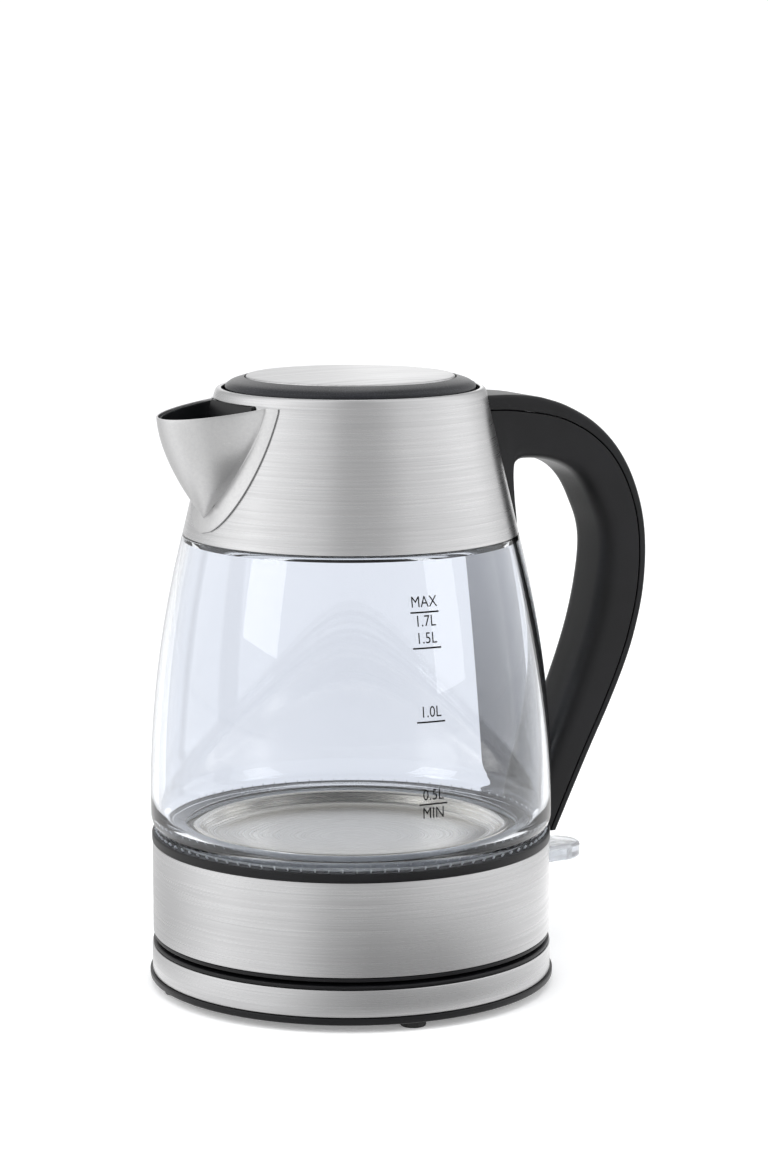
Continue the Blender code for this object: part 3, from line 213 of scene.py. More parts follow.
def flag(name, behind, low_left, high_left, right, high, foot, head):
    """A card behind the kettle that only shows through the glass, shaded from its foot to its head.

    Sizes are in millimetres, to the right of the camera's line.
    """
    turn = math.radians(CAMERA_AZIMUTH)
    back = Vector((-math.sin(turn), math.cos(turn), 0.0)) * behind
    side = Vector((math.cos(turn), math.sin(turn), 0.0))
    spots = [(low_left, 1.0), (right, 1.0), (right, high), (high_left, high)]
    corners = [(back + side * across + Vector((0, 0, level))) * MM for across, level in spots]
    thing = stage_piece(name, corners, [(0, 1, 2, 3)], "#000000", hidden=True)
    tree = thing.data.materials[0].node_tree
    shader = tree.nodes["Principled BSDF"]
    apart = add(tree, "ShaderNodeSeparateXYZ", {0: add(tree, "ShaderNodeTexCoord").outputs["Object"]})
    height = add(tree, "ShaderNodeMapRange", {"Value": apart.outputs["Z"], "From Max": high * MM})
    tree.links.new(tint(tree, height.outputs["Result"], foot, head), shader.inputs["Emission Color"])
    shader.inputs["Emission Strength"].default_value = 1.0
    unseen_by(thing, "diffuse", "glossy", "shadow")


# Light that the steel sees at angles from the camera: a dim gap where the camera stands, bright cloth
# at both sides, falling off behind. The wall serves the collar, which looks up; the ground serves the
# skirt, which looks down.
TENT_GLOW = 1.7
WALL_LIGHT = [(-180, 1.08), (-168, 0.75), (-152, 0.6), (-122, 0.95), (-96, 1.45), (-72, 1.62),
              (-58, 1.42), (-40, 1.2), (-20, 0.95), (-7, 0.7), (4, 0.64), (20, 0.66), (30, 0.76),
              (44, 0.98), (66, 1.15), (92, 1.4), (110, 1.42), (130, 1.05), (156, 0.5), (168, 0.7),
              (180, 1.08)]
GROUND_LIGHT = [(-180, 0.85), (-128, 0.96), (-110, 1.04), (-84, 1.3), (-70, 1.24), (-52, 1.08), (-28, 1.04),
                (-10, 0.8), (4, 0.85), (22, 0.9), (38, 1.08), (50, 1.15), (95, 1.06), (128, 0.96),
                (157, 0.78), (180, 0.85)]
SPOUT_LIGHT = [(-180, 0.8), (-100, 1.25), (-60, 1.25), (-28, 1.0), (-8, 0.55), (8, 0.36), (40, 0.38),
               (62, 0.7), (90, 1.1), (180, 0.8)]
TENT_RADIUS = 2.6
tent("tent_wall", [(TENT_RADIUS, 0.02), (TENT_RADIUS, 1.4), (1.9, 2.1), (0.9, 2.45), (0.02, 2.5)], WALL_LIGHT)
tent("tent_ground", [(0.02, 0.002), (TENT_RADIUS, 0.002)], GROUND_LIGHT)
tent("tent_under_spout", [(0.09, 0.003), (0.25, 0.003)], SPOUT_LIGHT)
# A dark card makes the grey at the right of the glass; a pale one dims the wall behind all of it.
flag("flag_behind", 150.0, 66.5, 54.0, 98.0, 166.0, "#08090b", "#8b8d95")
flag("veil_behind", 160.0, -110.0, -110.0, 112.0, 172.0, "#e6e9f0", "#f0f2f8")
lamp("key_box_left", -58.0, 1.1, 1.9, (1.0, 1.6), 19.0)
lamp("fill_box_right", 62.0, 0.9, 2.0, (0.8, 1.5), 11.0)
lamp("top_box", 0.0, 2.2, 0.6, (1.6, 1.6), 14.0)
world = bpy.data.worlds.new("studio_air")
world.use_nodes = True
sky = world.node_tree.nodes["Background"]
sky.inputs["Color"].default_value = linear("#f3f5f8")
sky.inputs["Strength"].default_value = 0.68
bpy.context.scene.world = world
bpy.context.scene.view_settings.view_transform = "Standard"
print("studio ready")

# %% [markdown]
# ## The finishes
# A kettle has few materials, each with a surface that was made in one way: brushed, blasted, moulded
# or fired. Every pattern below reads Object coordinates, so it stays on its piece when the lid opens.
#
# Brushing is fine scratches in one direction. Noise squeezed across the brush direction and stretched
# along it gives such scratches; it drives a little bump, a little roughness and a little colour.


# %% Stainless steel, brushed level round the body
def scratches(tree, stretch, detail=2.0):
    """Noise stretched into brush lines: stretch is lines per metre along X, Y and Z."""
    place = add(tree, "ShaderNodeTexCoord")
    squeeze = add(tree, "ShaderNodeMapping", {"Vector": place.outputs["Object"], "Scale": stretch})
    return add(tree, "ShaderNodeTexNoise", {
        "Vector": squeeze.outputs["Vector"], "Scale": 1.0, "Detail": detail, "Roughness": 0.6}).outputs["Fac"]


def spread(tree, value, low, high):
    """Turn a pattern's middle range into values from low to high."""
    return add(tree, "ShaderNodeMapRange", {"Value": value, "From Min": 0.3, "From Max": 0.7, "To Min": low,
                                            "To Max": high}).outputs["Result"]


def bumped(tree, shader, height, strength, depth):
    """Raise a pattern a little; depth is in metres."""
    bump = add(tree, "ShaderNodeBump", {"Height": height, "Strength": strength, "Distance": depth})
    tree.links.new(bump.outputs["Normal"], shader.inputs["Normal"])


def brushed_steel(name, stretch, dark, light, rough, strength=0.12, upright=None):
    """Stainless steel with brush lines; upright is the axis the lines run round, for its stretched shine."""
    made, shader = material(name, light, rough[0], Metallic=1.0)
    tree = made.node_tree
    fine = scratches(tree, stretch)
    broad = scratches(tree, [part * 0.31 for part in stretch], 1.0)
    lines = maths(tree, "MULTIPLY", maths(tree, "ADD", fine, broad), 0.5)
    tree.links.new(tint(tree, spread(tree, lines, 0.0, 1.0), dark, light), shader.inputs["Base Color"])
    tree.links.new(spread(tree, lines, rough[1], rough[0]), shader.inputs["Roughness"])
    bumped(tree, shader, lines, strength, 0.00002)
    if upright:
        shader.inputs["Anisotropic"].default_value = 0.7
        shader.inputs["Anisotropic Rotation"].default_value = 0.25
        axis = add(tree, "ShaderNodeTangent", direction_type="RADIAL", axis=upright)
        tree.links.new(axis.outputs["Tangent"], shader.inputs["Tangent"])
    return made


# 304 stainless steel, belt-brushed level: lines 15-20 mm long and about 0.3 mm wide, as coarse as they
# have to be to show; they spread a lamp into a tall soft band.
steel_level = brushed_steel("stainless_304_brushed_level", (38.0, 38.0, 5200.0), "#b6b6b7", "#c8c8c9",
                            (0.24, 0.34), upright="Z")
# The same steel on the lid, brushed straight across.
steel_straight = brushed_steel("stainless_304_brushed_straight", (60.0, 3000.0, 60.0), "#a9a9aa", "#cccccd",
                               (0.28, 0.38))
# Deep-drawn spout: polished after pressing, then blasted satin; hardly any direction left.
steel_satin = brushed_steel("stainless_304_satin_blasted", (2600.0, 2600.0, 3400.0), "#bebebf", "#c8c8c8",
                            (0.27, 0.33), strength=0.03)
# Rolled and polished edges, screws and pins.
steel_polished = brushed_steel("stainless_polished", (400.0, 400.0, 400.0), "#c4c4c4", "#dcdcdc",
                               (0.1, 0.18), strength=0.02)


# %% Stainless steel floor of the vessel, turned in rings
def ringed_steel(name, rings_per_metre):
    """Steel faced on a lathe: the tool leaves fine rings round the axis."""
    made, shader = material(name, "#cecdcb", 0.3, Metallic=1.0)
    tree = made.node_tree
    place = add(tree, "ShaderNodeTexCoord")
    flat = add(tree, "ShaderNodeVectorMath", {0: place.outputs["Object"], 1: (1.0, 1.0, 0.0)},
               operation="MULTIPLY")
    reach = add(tree, "ShaderNodeVectorMath", {0: flat.outputs[0]}, operation="LENGTH")
    count = maths(tree, "MULTIPLY", reach.outputs["Value"], rings_per_metre)
    rings = add(tree, "ShaderNodeTexNoise", {"W": count, "Scale": 1.0, "Detail": 2.0},
                noise_dimensions="1D").outputs["Fac"]
    shade = tint(tree, spread(tree, rings, 0.0, 1.0), "#c2bdb4", "#ddd8ce")
    tree.links.new(shade, shader.inputs["Base Color"])
    tree.links.new(spread(tree, rings, 0.34, 0.22), shader.inputs["Roughness"])
    bumped(tree, shader, rings, 0.12, 0.00004)
    return made


steel_ringed = ringed_steel("stainless_304_turned", 1800.0)


# %% Moulded plastics, rubber, silicone and small metals
def moulded(name, dark, light, rough, grain, strength, **more):
    """A moulded material: spark-eroded grain of the mould, grain is specks per metre."""
    made, shader = material(name, light, rough[0], **more)
    tree = made.node_tree
    specks = scratches(tree, (grain, grain, grain), 3.0)
    cloud = scratches(tree, (35.0, 35.0, 35.0), 2.0)
    tree.links.new(tint(tree, spread(tree, cloud, 0.0, 1.0), dark, light), shader.inputs["Base Color"])
    tree.links.new(spread(tree, specks, rough[0], rough[1]), shader.inputs["Roughness"])
    bumped(tree, shader, specks, strength, 0.00003)
    return made


# Black polypropylene with a satin mould grain of about 0.4 mm: soft broad highlights, never glassy.
plastic_black = moulded("polypropylene_black_satin", "#0a0a0c", "#101013", (0.32, 0.44), 2500.0, 0.06,
                        Specular_IOR_Level=0.24)
# Dark grey polypropylene of the lid ring and the latch.
plastic_grey = moulded("polypropylene_grey_satin", "#17181c", "#202126", (0.24, 0.34), 2500.0, 0.05,
                       Specular_IOR_Level=0.25)
# Black plastic inside the spout, which sees little light.
plastic_inner = moulded("polypropylene_black_inner", "#0d0e10", "#141518", (0.4, 0.5), 1800.0, 0.05,
                        Specular_IOR_Level=0.15)
rubber_black = moulded("rubber_black_moulded", "#141414", "#1d1d1d", (0.7, 0.85), 1500.0, 0.12)
silicone_clear = moulded("silicone_milky", "#c8ccd2", "#dde1e6", (0.4, 0.5), 900.0, 0.04,
                         Transmission_Weight=0.35)
copper_plain = moulded("copper_alloy_contact", "#a8694a", "#c98a66", (0.25, 0.4), 1200.0, 0.03, Metallic=1.0)
brass_plain = moulded("brass_turned", "#b08a45", "#d0ab62", (0.2, 0.34), 1200.0, 0.03, Metallic=1.0)
aluminium_cast = moulded("aluminium_cast", "#9a9b9e", "#bcbdc0", (0.4, 0.55), 700.0, 0.08, Metallic=1.0)
# Black enamel of the volume marks, fired on the glass.
enamel_black = moulded("enamel_black_print", "#060607", "#0b0b0c", (0.4, 0.5), 2000.0, 0.02,
                       Specular_IOR_Level=0.15)
# Borosilicate glass: clear, a trace of blue-grey in its thickness, fire-polished smooth.
glass_clear, _ = material("borosilicate_clear", "#f6f8fb", 0.0, Transmission_Weight=1.0, IOR=1.47)
# Clear polycarbonate of the lever: a little milky from its moulded core.
lever_clear, _ = material("polycarbonate_clear", "#f7f9fc", 0.12, Transmission_Weight=0.8, IOR=1.49)
print("finishes:", len(bpy.data.materials))

# %% [markdown]
# ## Turned pieces
# Most of the kettle is round: bands, skirt, glass, collar and lid are all an outline turned about one
# axis. A Screw modifier could turn each outline, but writing the rings one by one gives full control of
# the seam and the poles, and lets every corner be rounded first. No real edge is perfectly sharp, and
# it is the small rounding that catches the thin bright line along each rim.

# %% Helpers that make and finish a piece
SIDES, FINE_SIDES = 192, 256


def smooth(mesh, sharp=35.0):
    """Smooth shading that keeps edges sharper than an angle in degrees."""
    bm = bmesh.new()
    bm.from_mesh(mesh)
    bmesh.ops.remove_doubles(bm, verts=bm.verts[:], dist=0.000002)
    bmesh.ops.recalc_face_normals(bm, faces=bm.faces[:])
    for face in bm.faces:
        face.smooth = True
    for edge in bm.edges:
        edge.smooth = edge.calc_face_angle(0.0) < math.radians(sharp)
    bm.to_mesh(mesh)
    bm.free()


def solid(name, corners, faces, sharp=35.0):
    """A mesh object from corners in millimetres."""
    mesh = bpy.data.meshes.new(name)
    mesh.from_pydata([Vector(corner) * MM for corner in corners], [], faces)
    smooth(mesh, sharp)
    return put(name, mesh)


def bend(before, corner, after, steps):
    """Points of a curve that leaves one point for another and is drawn towards a corner."""
    return [before * (1 - t) ** 2 + corner * 2 * t * (1 - t) + after * t ** 2
            for t in [step / steps for step in range(steps + 1)]]


def rounded(outline, closed=True, steps=4):
    """Round the corners of a line: each point is (u, v) or (u, v, how much is cut back)."""
    line = []
    count = len(outline)
    for index, point in enumerate(outline):
        here = Vector(point[:2])
        cut = point[2] if len(point) > 2 else 0.0
        if not cut or (not closed and index in (0, count - 1)):
            line.append(here)
            continue
        before = Vector(outline[index - 1][:2]) - here
        after = Vector(outline[(index + 1) % count][:2]) - here
        start = here + before.normalized() * min(cut, before.length * 0.48)
        end = here + after.normalized() * min(cut, after.length * 0.48)
        line += bend(start, here, end, steps)
    return line


def turned(name, outline, sides=SIDES, sharp=35.0):
    """Turn an outline of (radius, height, rounding) about the kettle's axis.

    An outline whose ends lie on the axis is a solid; any other is closed into a ring.
    """
    closed = outline[0][0] > 0.0
    line = rounded(outline, closed)
    corners, rows, faces = [], [], []
    for radius, height in line:
        if radius < 0.0001:
            rows.append([len(corners)] * sides)
            corners.append((0.0, 0.0, height))
        else:
            rows.append(list(range(len(corners), len(corners) + sides)))
            corners += ring_of_points(radius, height, sides)
    if closed:
        rows.append(rows[0])
    for low, high in zip(rows, rows[1:]):
        for s in range(sides):
            after = (s + 1) % sides
            face = []
            for corner in (low[s], low[after], high[after], high[s]):
                if corner not in face:
                    face.append(corner)
            if len(face) > 2:
                faces.append(face)
    return solid(name, corners, faces, sharp)


def rod(name, start, end, radius, sides=32, soft=0.0):
    """A round rod between two points, with its rims rounded by soft."""
    start, end = Vector(start), Vector(end)
    turn = (end - start).to_track_quat("Z", "Y")
    length = (end - start).length
    outline = [(0.0, 0.0), (radius, 0.0, soft), (radius, length, soft), (0.0, length)]
    thing = turned(name, outline, sides)
    thing.data.transform(Matrix.Translation(start * MM) @ turn.to_matrix().to_4x4())
    return thing


def block(name, low, high, soft=0.0, segments=3):
    """A box between two corners with rounded edges."""
    bm = bmesh.new()
    middle = (Vector(low) + Vector(high)) / 2
    size = Vector(high) - Vector(low)
    stretch = Matrix.Diagonal((*(size * MM), 1.0))
    bmesh.ops.create_cube(bm, size=1.0, matrix=Matrix.Translation(middle * MM) @ stretch)
    if soft:
        bmesh.ops.bevel(bm, geom=bm.edges[:], offset=soft * MM, segments=segments, profile=0.5,
                        affect="EDGES")
    mesh = bpy.data.meshes.new(name)
    bm.to_mesh(mesh)
    bm.free()
    smooth(mesh)
    return put(name, mesh)


def bevel(thing, width, segments, degrees):
    """Round the edges of a piece that are sharper than an angle."""
    edge = thing.modifiers.new("edge", "BEVEL")
    edge.width = width * MM
    edge.segments = segments
    edge.limit_method = "ANGLE"
    edge.angle_limit = math.radians(degrees)


def applied(thing, sharp=35.0):
    """Turn a piece's modifiers into plain mesh."""
    shape = thing.evaluated_get(bpy.context.evaluated_depsgraph_get())
    mesh = bpy.data.meshes.new_from_object(shape)
    thing.modifiers.clear()
    thing.data = mesh
    smooth(mesh, sharp)
    return thing


def cut(thing, *tools, operation="DIFFERENCE", keep_tools=False):
    """Cut tools out of a piece, or join them to it, and remove the tools."""
    for tool in tools:
        change = thing.modifiers.new("cut", "BOOLEAN")
        change.operation = operation
        change.solver = "EXACT"
        change.object = tool
    applied(thing)
    if not keep_tools:
        for tool in tools:
            bpy.data.objects.remove(tool, do_unlink=True)
    return thing


def dress(thing, finish, body, slot, *nodes):
    """Give a finished piece its material, its body and the CAD nodes it stands for; slot is not used."""
    thing.data.materials.clear()
    thing.data.materials.append(finish)
    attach(thing, body)
    if nodes:
        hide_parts(*nodes)
    print(f"{thing.name}: {len(thing.data.polygons)} faces, {finish.name}, on {body}")
    return thing


def on_circle(radius, degrees, height=0.0):
    """A point round the kettle's axis."""
    turn = math.radians(degrees)
    return Vector((radius * math.cos(turn), radius * math.sin(turn), height))


HEAD, HEAD_THICK, SHANK, WELL = 2.8, 1.5, 1.4, 3.1
RECESS, RECESS_DEPTH, RECESS_HALF = HEAD * 0.62, 0.8, 0.4


def screw(node, x, y, low, high, body):
    """A pan-head screw with a cross recess, standing on its head."""
    neck = low + HEAD_THICK
    thing = turned(node + "_finished", [
        (0.0, low, 0.0), (HEAD, low, 0.9), (HEAD, neck, 0.1), (SHANK, neck), (SHANK, high, 0.6),
        (0.0, high)], 24)
    thing.data.transform(Matrix.Translation((x * MM, y * MM, 0.0)))
    cut(thing, *[block("bar", (x - across, y - along, low - 0.5), (x + across, y + along, low + RECESS_DEPTH))
                 for across, along in ((RECESS, RECESS_HALF), (RECESS_HALF, RECESS))])
    dress(thing, steel_polished, body, "polished_steel", node)


def screws(name, circle, angles, low, high, body):
    """Screws on a circle, numbered from 1."""
    for number, degrees in enumerate(angles, start=1):
        screw("%s_%d" % (name, number), *on_circle(circle, degrees).xy, low, high, body)


def sink_wells(thing, circle, angles, low, high):
    """Cut a well for each screw head into a piece."""
    spots = [on_circle(circle, degrees).xy for degrees in angles]
    cut(thing, *[rod("well", (*spot, low), (*spot, high), WELL) for spot in spots])


print("helpers ready")

# %% [markdown]
# ## The power base
# A black moulded tray with a brushed steel band pressed round it, a black cover on top, and the round
# plug in the middle that the kettle stands on. Four rubber feet keep it from sliding. The band is a
# rolled strip with turned-in edges, so its two rims get a small rounding and the seams beside it stay
# open, dark and even.

# %% Levels and radii of the base and the kettle's foot
RIM_Z, RIM_RADIUS = 3.0, 80.0
BAND_Z, BAND_TOP, BAND_RADIUS = 5.75, 16.35, 79.0
COVER_Z, COVER_TOP = 16.5, 18.5
PLUG_TOP, PLUG_RADIUS = 31.0, 17.0
FLOOR_Z, FLOOR_LIP_Z, SKIRT_Z = 18.8, 19.5, 21.2
SKIRT_TOP, SKIRT_RADIUS = 57.8, 78.6
RING_Z, RING_TOP, RING_RADIUS = 57.95, 61.35, 78.8
PAN_INSIDE = 76.2
STEP_RADIUS = 45.0

# %% Tray, band, cover and plug
pan = turned("base_tray", [
    (0.0, 4.8), (PAN_INSIDE, 4.8, 0.6), (PAN_INSIDE, 16.2, 0.2), (78.0, 16.2, 0.2), (78.0, 5.6),
    (RIM_RADIUS, 5.6, 0.45), (RIM_RADIUS, RIM_Z, 0.9), (60.0, RIM_Z), (59.6, RIM_Z + 0.5, 0.2),
    (58.4, RIM_Z + 0.5, 0.2), (58.0, RIM_Z), (STEP_RADIUS + 1.5, RIM_Z, 0.5), (STEP_RADIUS, 1.5, 0.5),
    (0.0, 1.5)])
BASE_SCREWS, BASE_SCREW_ANGLES = STEP_RADIUS + 12.0, (30, 150, 270)
sink_wells(pan, BASE_SCREWS, BASE_SCREW_ANGLES, 0.0, 6.0)
OUTLET_LOW, OUTLET_HIGH, OUTLET_HALF = 5.9, 14.2, 5.8


def cut_outlet(thing):
    """The hole where the cord leaves the base."""
    cut(thing, block("outlet", (-OUTLET_HALF, 72.0, OUTLET_LOW), (OUTLET_HALF, 84.0, OUTLET_HIGH), 0.6))


cut_outlet(pan)
dress(pan, plastic_black, "power_base", "black_plastic", "base_pan")
band = turned("base_band_finished", [
    (BAND_RADIUS, BAND_TOP, 0.35), (BAND_RADIUS, BAND_Z, 0.35), (78.3, BAND_Z, 0.2), (78.3, BAND_TOP, 0.2)],
    FINE_SIDES)
cut_outlet(band)
dress(band, steel_level, "power_base", "brushed_steel", "base_band")
cover = turned("base_cover", [
    (75.4, COVER_TOP, 1.2), (78.6, 17.9, 0.6), (78.6, COVER_Z, 0.3), (75.9, COVER_Z), (75.9, 14.5, 0.3),
    (74.5, 14.5, 0.3), (74.5, COVER_Z), (17.3, COVER_Z, 0.2), (17.3, COVER_TOP, 0.8), (40.0, COVER_TOP),
    (40.4, COVER_TOP - 0.5, 0.2), (41.6, COVER_TOP - 0.5, 0.2), (42.0, COVER_TOP)])
dress(cover, plastic_black, "power_base", "black_plastic", "base_top")
plug = turned("base_plug_finished", [
    (PLUG_RADIUS, PLUG_TOP, 1.0), (PLUG_RADIUS, 16.2, 0.1), (21.0, 16.2, 0.2), (21.0, 5.1, 0.2),
    (3.9, 5.1, 0.1), (3.9, PLUG_TOP, 0.5), (9.0, PLUG_TOP, 0.5), (9.0, 21.5), (12.2, 21.5),
    (12.2, PLUG_TOP, 0.5)], 96)
dress(plug, plastic_black, "power_base", "black_plastic", "base_plug")

# %% Cord bush, feet and screws of the base
middle = (OUTLET_LOW + OUTLET_HIGH) / 2
bush = block("cord_bush_finished", (-5.45, 74.25, OUTLET_LOW + 0.35), (5.45, 79.35, OUTLET_HIGH - 0.35), 0.7)
cut(bush, rod("bore", (0, 70, middle), (0, 86, middle), 3.0, 32))
cut(bush, *[block("rib", (-7, 75.6 + 1.3 * rib, OUTLET_HIGH - 0.9), (7, 76.1 + 1.3 * rib, OUTLET_HIGH + 1))
            for rib in range(3)])
dress(bush, rubber_black, "power_base", "black_plastic", "cord_bush")
for number, degrees in enumerate((80, 170, 260, 350), start=1):
    x, y = on_circle(72.0, degrees).xy
    foot = turned("foot_%d_finished" % number, [
        (0.0, 0.25), (1.6, 0.25, 0.2), (2.0, 0.0, 0.2), (5.0, 0.0, 0.7), (4.9, 2.7, 0.2), (0.0, 2.7)], 48)
    foot.data.transform(Matrix.Translation((x * MM, y * MM, 0.0)))
    dress(foot, rubber_black, "power_base", "rubber", "foot_%d" % number)
screws("base_screw", BASE_SCREWS, BASE_SCREW_ANGLES, 3.3, 16.2, "power_base")

# %% [markdown]
# ## The kettle's foot
# The steel skirt hides the heater and the switch. Below it a black floor closes the body; its lip and
# the base's lip make the dark double line where kettle and base part. Above it a black ring carries
# the glass on a milky silicone seal whose ribs glint through the glass.

# %% Floor, socket, skirt and ring
floor = turned("kettle_floor_finished", [
    (77.6, 26.9, 0.2), (77.6, 20.9), (78.3, 20.9, 0.3), (78.3, FLOOR_LIP_Z, 0.4), (75.3, FLOOR_Z, 1.0),
    (60.0, FLOOR_Z), (59.6, FLOOR_Z + 0.5, 0.2), (58.4, FLOOR_Z + 0.5, 0.2), (58.0, FLOOR_Z),
    (24.4, FLOOR_Z, 0.5), (24.4, 20.8, 0.2), (76.2, 20.8), (76.2, 26.9, 0.2)])
FLOOR_SCREWS, FLOOR_SCREW_ANGLES = 69.5, (60, 180, 300)
sink_wells(floor, FLOOR_SCREWS, FLOOR_SCREW_ANGLES, 17.0, 22.0)
dress(floor, plastic_black, "kettle", "black_plastic", "kettle_floor")
screws("floor_screw", FLOOR_SCREWS, FLOOR_SCREW_ANGLES, 19.2, 34.8, "kettle")
socket = turned("connector_socket_finished", [
    (0.0, 37.7), (23.9, 37.7, 1.0), (23.9, 19.1, 0.6), (19.4, 19.1, 0.4), (17.9, 20.6, 0.4),
    (17.9, 32.2, 0.5), (0.0, 32.2)], 96)
dress(socket, plastic_black, "socket_module", "black_plastic", "connector_socket")
skirt = turned("skirt_finished", [
    (SKIRT_RADIUS, SKIRT_TOP, 0.35), (SKIRT_RADIUS, SKIRT_Z, 0.45), (77.9, SKIRT_Z, 0.2),
    (77.9, SKIRT_TOP, 0.2)], FINE_SIDES)
cut(skirt, block("lever_slot", (70.0, -10.8, 34.7), (88.0, 10.8, 45.7), 1.2))
dress(skirt, steel_level, "kettle", "brushed_steel", "skirt")
skirt_ring = turned("skirt_ring_finished", [
    (78.4, RING_TOP, 0.3), (RING_RADIUS, RING_TOP - 0.5, 0.3), (RING_RADIUS, RING_Z, 0.3),
    (65.7, RING_Z, 0.2), (65.7, RING_Z + 1.2, 0.2), (74.3, RING_Z + 1.2), (74.3, RING_TOP, 0.3)])
for degrees in FLOOR_SCREW_ANGLES:
    x, y = on_circle(FLOOR_SCREWS, degrees).xy
    cut(skirt_ring, rod("boss", (x, y, 21.1), (x, y, 58.5), 3.8, 32, 0.4), operation="UNION")
    cut(skirt_ring, rod("hole", (x, y, 20.0), (x, y, 36.0), 1.7, 24))
dress(skirt_ring, plastic_black, "kettle", "black_plastic", "skirt_ring")

# %% [markdown]
# ## The heating plate
# The vessel's floor is a pressed steel dish. Its raised lip makes a bright ring through the glass, and
# the flat inside it was faced on a lathe, so its shine runs in fine rings.

# %% Heating plate
plate = turned("heating_plate_finished", [
    (0.0, 57.15), (55.0, 57.15, 1.5), (57.6, 57.9, 1.2), (60.6, 62.35, 1.2), (62.6, 62.35, 1.0),
    (64.6, 60.45, 1.0), (74.0, 60.45, 0.3), (74.0, 59.45, 0.3), (63.6, 59.45, 0.8), (61.8, 61.35, 0.4),
    (61.0, 61.35, 0.4), (58.2, 56.4, 0.8), (55.2, 56.15, 1.0), (0.0, 56.15)], FINE_SIDES)
dress(plate, steel_ringed, "kettle", "polished_steel", "heating_plate")

# %% [markdown]
# ## The glass
# One blown and pressed vessel: a long even arc, a thick rounded foot, and a neck that steps in under
# the collar. The wall is really two surfaces 3 mm apart, and both must be there, because the bright
# and dark lines at the sides of a glass are made by the light bending through that thickness.

# %% Glass vessel
GLASS_ARC, WIDEST_RADIUS, WIDEST_Z = 427.0, 79.2, 73.15
GLASS_Z, SHOULDER_Z, NECK_TOP = 62.15, 179.45, 190.45
WALL = 3.0


def glass_radius(z):
    """Outside radius of the glass: one long arc seen from the side."""
    return WIDEST_RADIUS - GLASS_ARC + math.sqrt(GLASS_ARC ** 2 - (z - WIDEST_Z) ** 2)


STEPS = 40
heights = [SHOULDER_Z - (SHOULDER_Z - 68.0) * step / STEPS for step in range(STEPS + 1)]
outside = [(60.0, NECK_TOP, 0.8), (62.8, 180.6, 0.6)]
outside += [(glass_radius(height), height, 0.6 if height == SHOULDER_Z else 0.0) for height in heights]
foot_line = [(78.4, 64.6, 1.8), (75.4, GLASS_Z, 1.2), (66.0, GLASS_Z, 0.8), (66.0, 63.6, 0.6),
             (72.6, 64.2, 2.0)]
inside = [(glass_radius(height) - WALL - 0.9 * max(0.0, (74.0 - height) / 6.0) ** 2, height)
          for height in reversed(heights[1:])]
inside += [(59.8, 178.0, 0.8), (57.2, NECK_TOP, 0.8)]
vessel = turned("glass_vessel_finished", outside + foot_line + inside, FINE_SIDES, 50.0)
dress(vessel, glass_clear, "kettle", "clear_glass", "glass_vessel")

# %% [markdown]
# ## The volume marks
# Black enamel is printed on the glass and fired. The marks are text turned into mesh, then bent round
# the glass so that they lie on it to a few hundredths of a millimetre. An image could carry them, but
# mesh letters stay crisp at any distance.

# %% Volume marks bent onto the glass
MARK_ANGLE = 264.0          # round the glass from the handle's side
LETTER = 5.9
LINE_WIDTH, LINE_THICK = 11.5, 0.62
INK = 0.05


def letters(words, middle_z):
    """Corners and faces of a line of text, flat, with its middle at a height."""
    curve = bpy.data.curves.new("words", "FONT")
    curve.body = words
    curve.size = LETTER
    curve.align_x = "CENTER"
    curve.align_y = "CENTER"
    curve.space_character = 1.02
    curve.extrude = INK / 2
    curve.resolution_u = 3
    holder = put("words", curve)
    mesh = bpy.data.meshes.new_from_object(holder.evaluated_get(bpy.context.evaluated_depsgraph_get()))
    corners = [(v.co.x * 0.84, v.co.z, v.co.y + middle_z) for v in mesh.vertices]
    faces = [tuple(face.vertices) for face in mesh.polygons]
    bpy.data.objects.remove(holder, do_unlink=True)
    return corners, faces


def mark_line(z):
    """A long thin box, cut along its length so that it can bend."""
    pieces = 12
    corners, faces = [], []
    for step in range(pieces + 1):
        x = LINE_WIDTH * (step / pieces - 0.5)
        corners += [(x, INK / 2, z - LINE_THICK / 2), (x, INK / 2, z + LINE_THICK / 2),
                    (x, -INK / 2, z + LINE_THICK / 2), (x, -INK / 2, z - LINE_THICK / 2)]
    for step in range(pieces):
        a, b = step * 4, step * 4 + 4
        faces += [(a + k, a + (k + 1) % 4, b + (k + 1) % 4, b + k) for k in range(4)]
    last = pieces * 4
    return corners, faces + [(0, 1, 2, 3), (last + 3, last + 2, last + 1, last)]


marks = [letters("MAX", 162.1), mark_line(158.4), letters("1.7L", 155.0), letters("1.5L", 148.7),
         mark_line(145.2), letters("1.0L", 121.4), mark_line(117.8), letters("0.5L", 90.3), mark_line(86.9),
         letters("MIN", 83.4)]
corners, faces = [], []
for flat_corners, flat_faces in marks:
    start = len(corners)
    for x, out, z in flat_corners:
        reach = glass_radius(z) + 0.06 + out
        turn = math.radians(MARK_ANGLE) + x / glass_radius(z)
        corners.append((reach * math.cos(turn), reach * math.sin(turn), z))
    faces += [tuple(start + corner for corner in face) for face in flat_faces]
dress(solid("volume_marks", corners, faces), enamel_black, "kettle", "black_plastic")

# %% [markdown]
# ## The collar and its liner
# The collar is spun from steel sheet: a straight cone whose top rolls over into the lid's mouth. A
# black liner inside it carries the lid's throat and the two ears of the hinge.

# %% Collar
COLLAR_Z, COLLAR_TOP = 179.95, 236.65
COLLAR_RADIUS, NECK_RADIUS, MOUTH_RADIUS = 65.657, 53.4, 50.3
CONE_TOP = COLLAR_TOP - 5.3


def collar_radius(z):
    """Outside radius of the collar's cone."""
    return COLLAR_RADIUS + (z - COLLAR_Z) / (CONE_TOP - COLLAR_Z) * (NECK_RADIUS - COLLAR_RADIUS)


